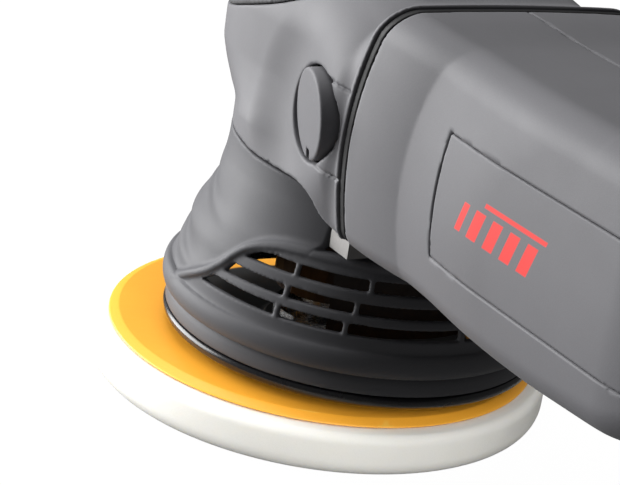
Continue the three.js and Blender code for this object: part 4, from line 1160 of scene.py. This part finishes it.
def build_forms():
    add_form("shroud_cover", shroud_form, (-63, -63, 21), (63, 63, 87), 0.62, SHROUD, "shroud", "shroud")
    low, high = (-60, -49, 60), (60, 49, 147)
    add_form("head_cover_shell", head_cover_form, low, high, 0.62, SHELL, "head_cover", "shell")
    add_form("palm_cap", top_cap_form, (-60, -49, 112), (60, 49, 147), 0.75, PALM, "head_top_cap", "palm")
    add_form("gear_case_flange", flange_form, (44, -46, 66), (72, 46, 74), 0.5, CASTING, None, "casting")
    add_form("seal_band", seal_form, (44, -46, 66), (72, 46, 145), 0.5, SEAL, "housing_seal", "seal")
    controls = [
        ("trigger_paddle", trigger_form, (226, -10, 75), (286, 10, 98), 0.5, "trigger"),
        ("speed_dial_wheel", dial_form, (306, -4.5, 108), (332, 4.5, 134), 0.4, "speed_dial"),
        ("lock_button_cap", button_form, (244, -30, 99), (260, -16, 115), 0.35, "lock_button"),
    ]
    for name, form, low, high, cell, node in controls:
        add_form(name, form, low, high, cell, CONTROL, node, "control", node)
    shells = [
        ("motor_housing", "shell", housing_form, (44, -1, 66), (216, 46, 145), 0.8, SHELL),
        ("rear_handle", "shell", handle_form, (214, -1, 80), (351, 32, 134), 0.75, SHELL),
        ("side_panel", "cover", panel_form, (86, 30, 83), (190, 46, 121), 0.6, PANEL_LOOK),
        ("handle_plug", "cap", plug_form, (8, 30, 87), (48, 54, 118), 0.45, SHELL),
    ]
    for side, word in ((-1, "left"), (1, "right")):
        for part, ending, form, low, high, cell, look in shells:
            node = f"{part}_{word}"
            add_form(f"{node}_{ending}", form(side), *side_span(side, low, high), cell, look, node, "shell")
    for number, (x, z) in enumerate(CASE_SCREWS, 1):
        low, high = (x - 5, -11, z - 5), (x + 5, 20, z + 5)
        node = f"case_screw_{number}"
        add_form(f"{node}_steel", screw_form((x, z)), low, high, 0.3, STEEL, node, "steel")


NODE_LOOKS = {
    "gear_case": GEAR_CASE_SHADE_GREY, "counterweight": IRON,
    "stator_core": LAMINATED, "armature_core": LAMINATED,
    "armature_shaft": SHAFT_STEEL, "bevel_pinion": SHAFT_STEEL,
}
for node_name in ("bevel_gear", "spindle_shaft", "plate_spindle", "plate_screw", "bearing_retainer"):
    NODE_LOOKS[node_name] = STEEL
for node_name in ("field_coil_upper", "field_coil_lower", "armature_winding_front", "armature_winding_rear"):
    NODE_LOOKS[node_name] = COPPER
NODE_LOOKS["commutator"] = COPPER
for node_name in ("rear_bearing_bracket", "fan_baffle", "cooling_fan", "switch_body", "speed_controller"):
    NODE_LOOKS[node_name] = NYLON


def look_for(node):
    if node in NODE_LOOKS:
        return NODE_LOOKS[node]
    if "bearing" in node:
        return STEEL
    if "brush_cap" in node:
        return CONTROL
    if "carbon_brush" in node:
        return CARBON
    return BRASS


def dress_cad_nodes():
    for name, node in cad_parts.items():
        node.data.materials.clear()
        node.data.materials.append(look_for(name))
        node.data.polygons.foreach_set("use_smooth", np.ones(len(node.data.polygons), bool))
        node.data.set_sharp_from_angle(angle=math.radians(35))


FLOOR_GLOW = 0.97
FLOOR_REACH, FLOOR_Z = 9e3, -0.05


def add_floor():
    corners = [(-1, -1), (1, -1), (1, 1), (-1, 1)]
    points = [(x * FLOOR_REACH, y * FLOOR_REACH, FLOOR_Z) for x, y in corners]
    floor = mesh_object("floor", points, [(0, 1, 2, 3)])
    made = Shader("white_floor")
    made.link(made.ramp(made.noise(3, 2), (0.3, (0.92, 0.92, 0.92)), (0.7, (0.94, 0.94, 0.94))), "Base Color")
    made.set(Roughness=0.9)
    glow = made.nodes.new("ShaderNodeEmission")
    glow.inputs["Strength"].default_value = 1.02
    share = made.nodes.new("ShaderNodeMixShader")
    share.inputs["Fac"].default_value = FLOOR_GLOW
    made.links.new(made.surface.outputs["BSDF"], share.inputs[1])
    made.links.new(glow.outputs["Emission"], share.inputs[2])
    made.links.new(share.outputs["Shader"], made.nodes["Material Output"].inputs["Surface"])
    floor.data.materials.append(made.material)
    floor.visible_diffuse = False
    floor.visible_glossy = False
    floor.visible_shadow = False


add_camera()
add_studio()
add_floor()
dress_cad_nodes()
build_plate()
build_ring()
build_gland()
build_forms()
add_plate_bounce()
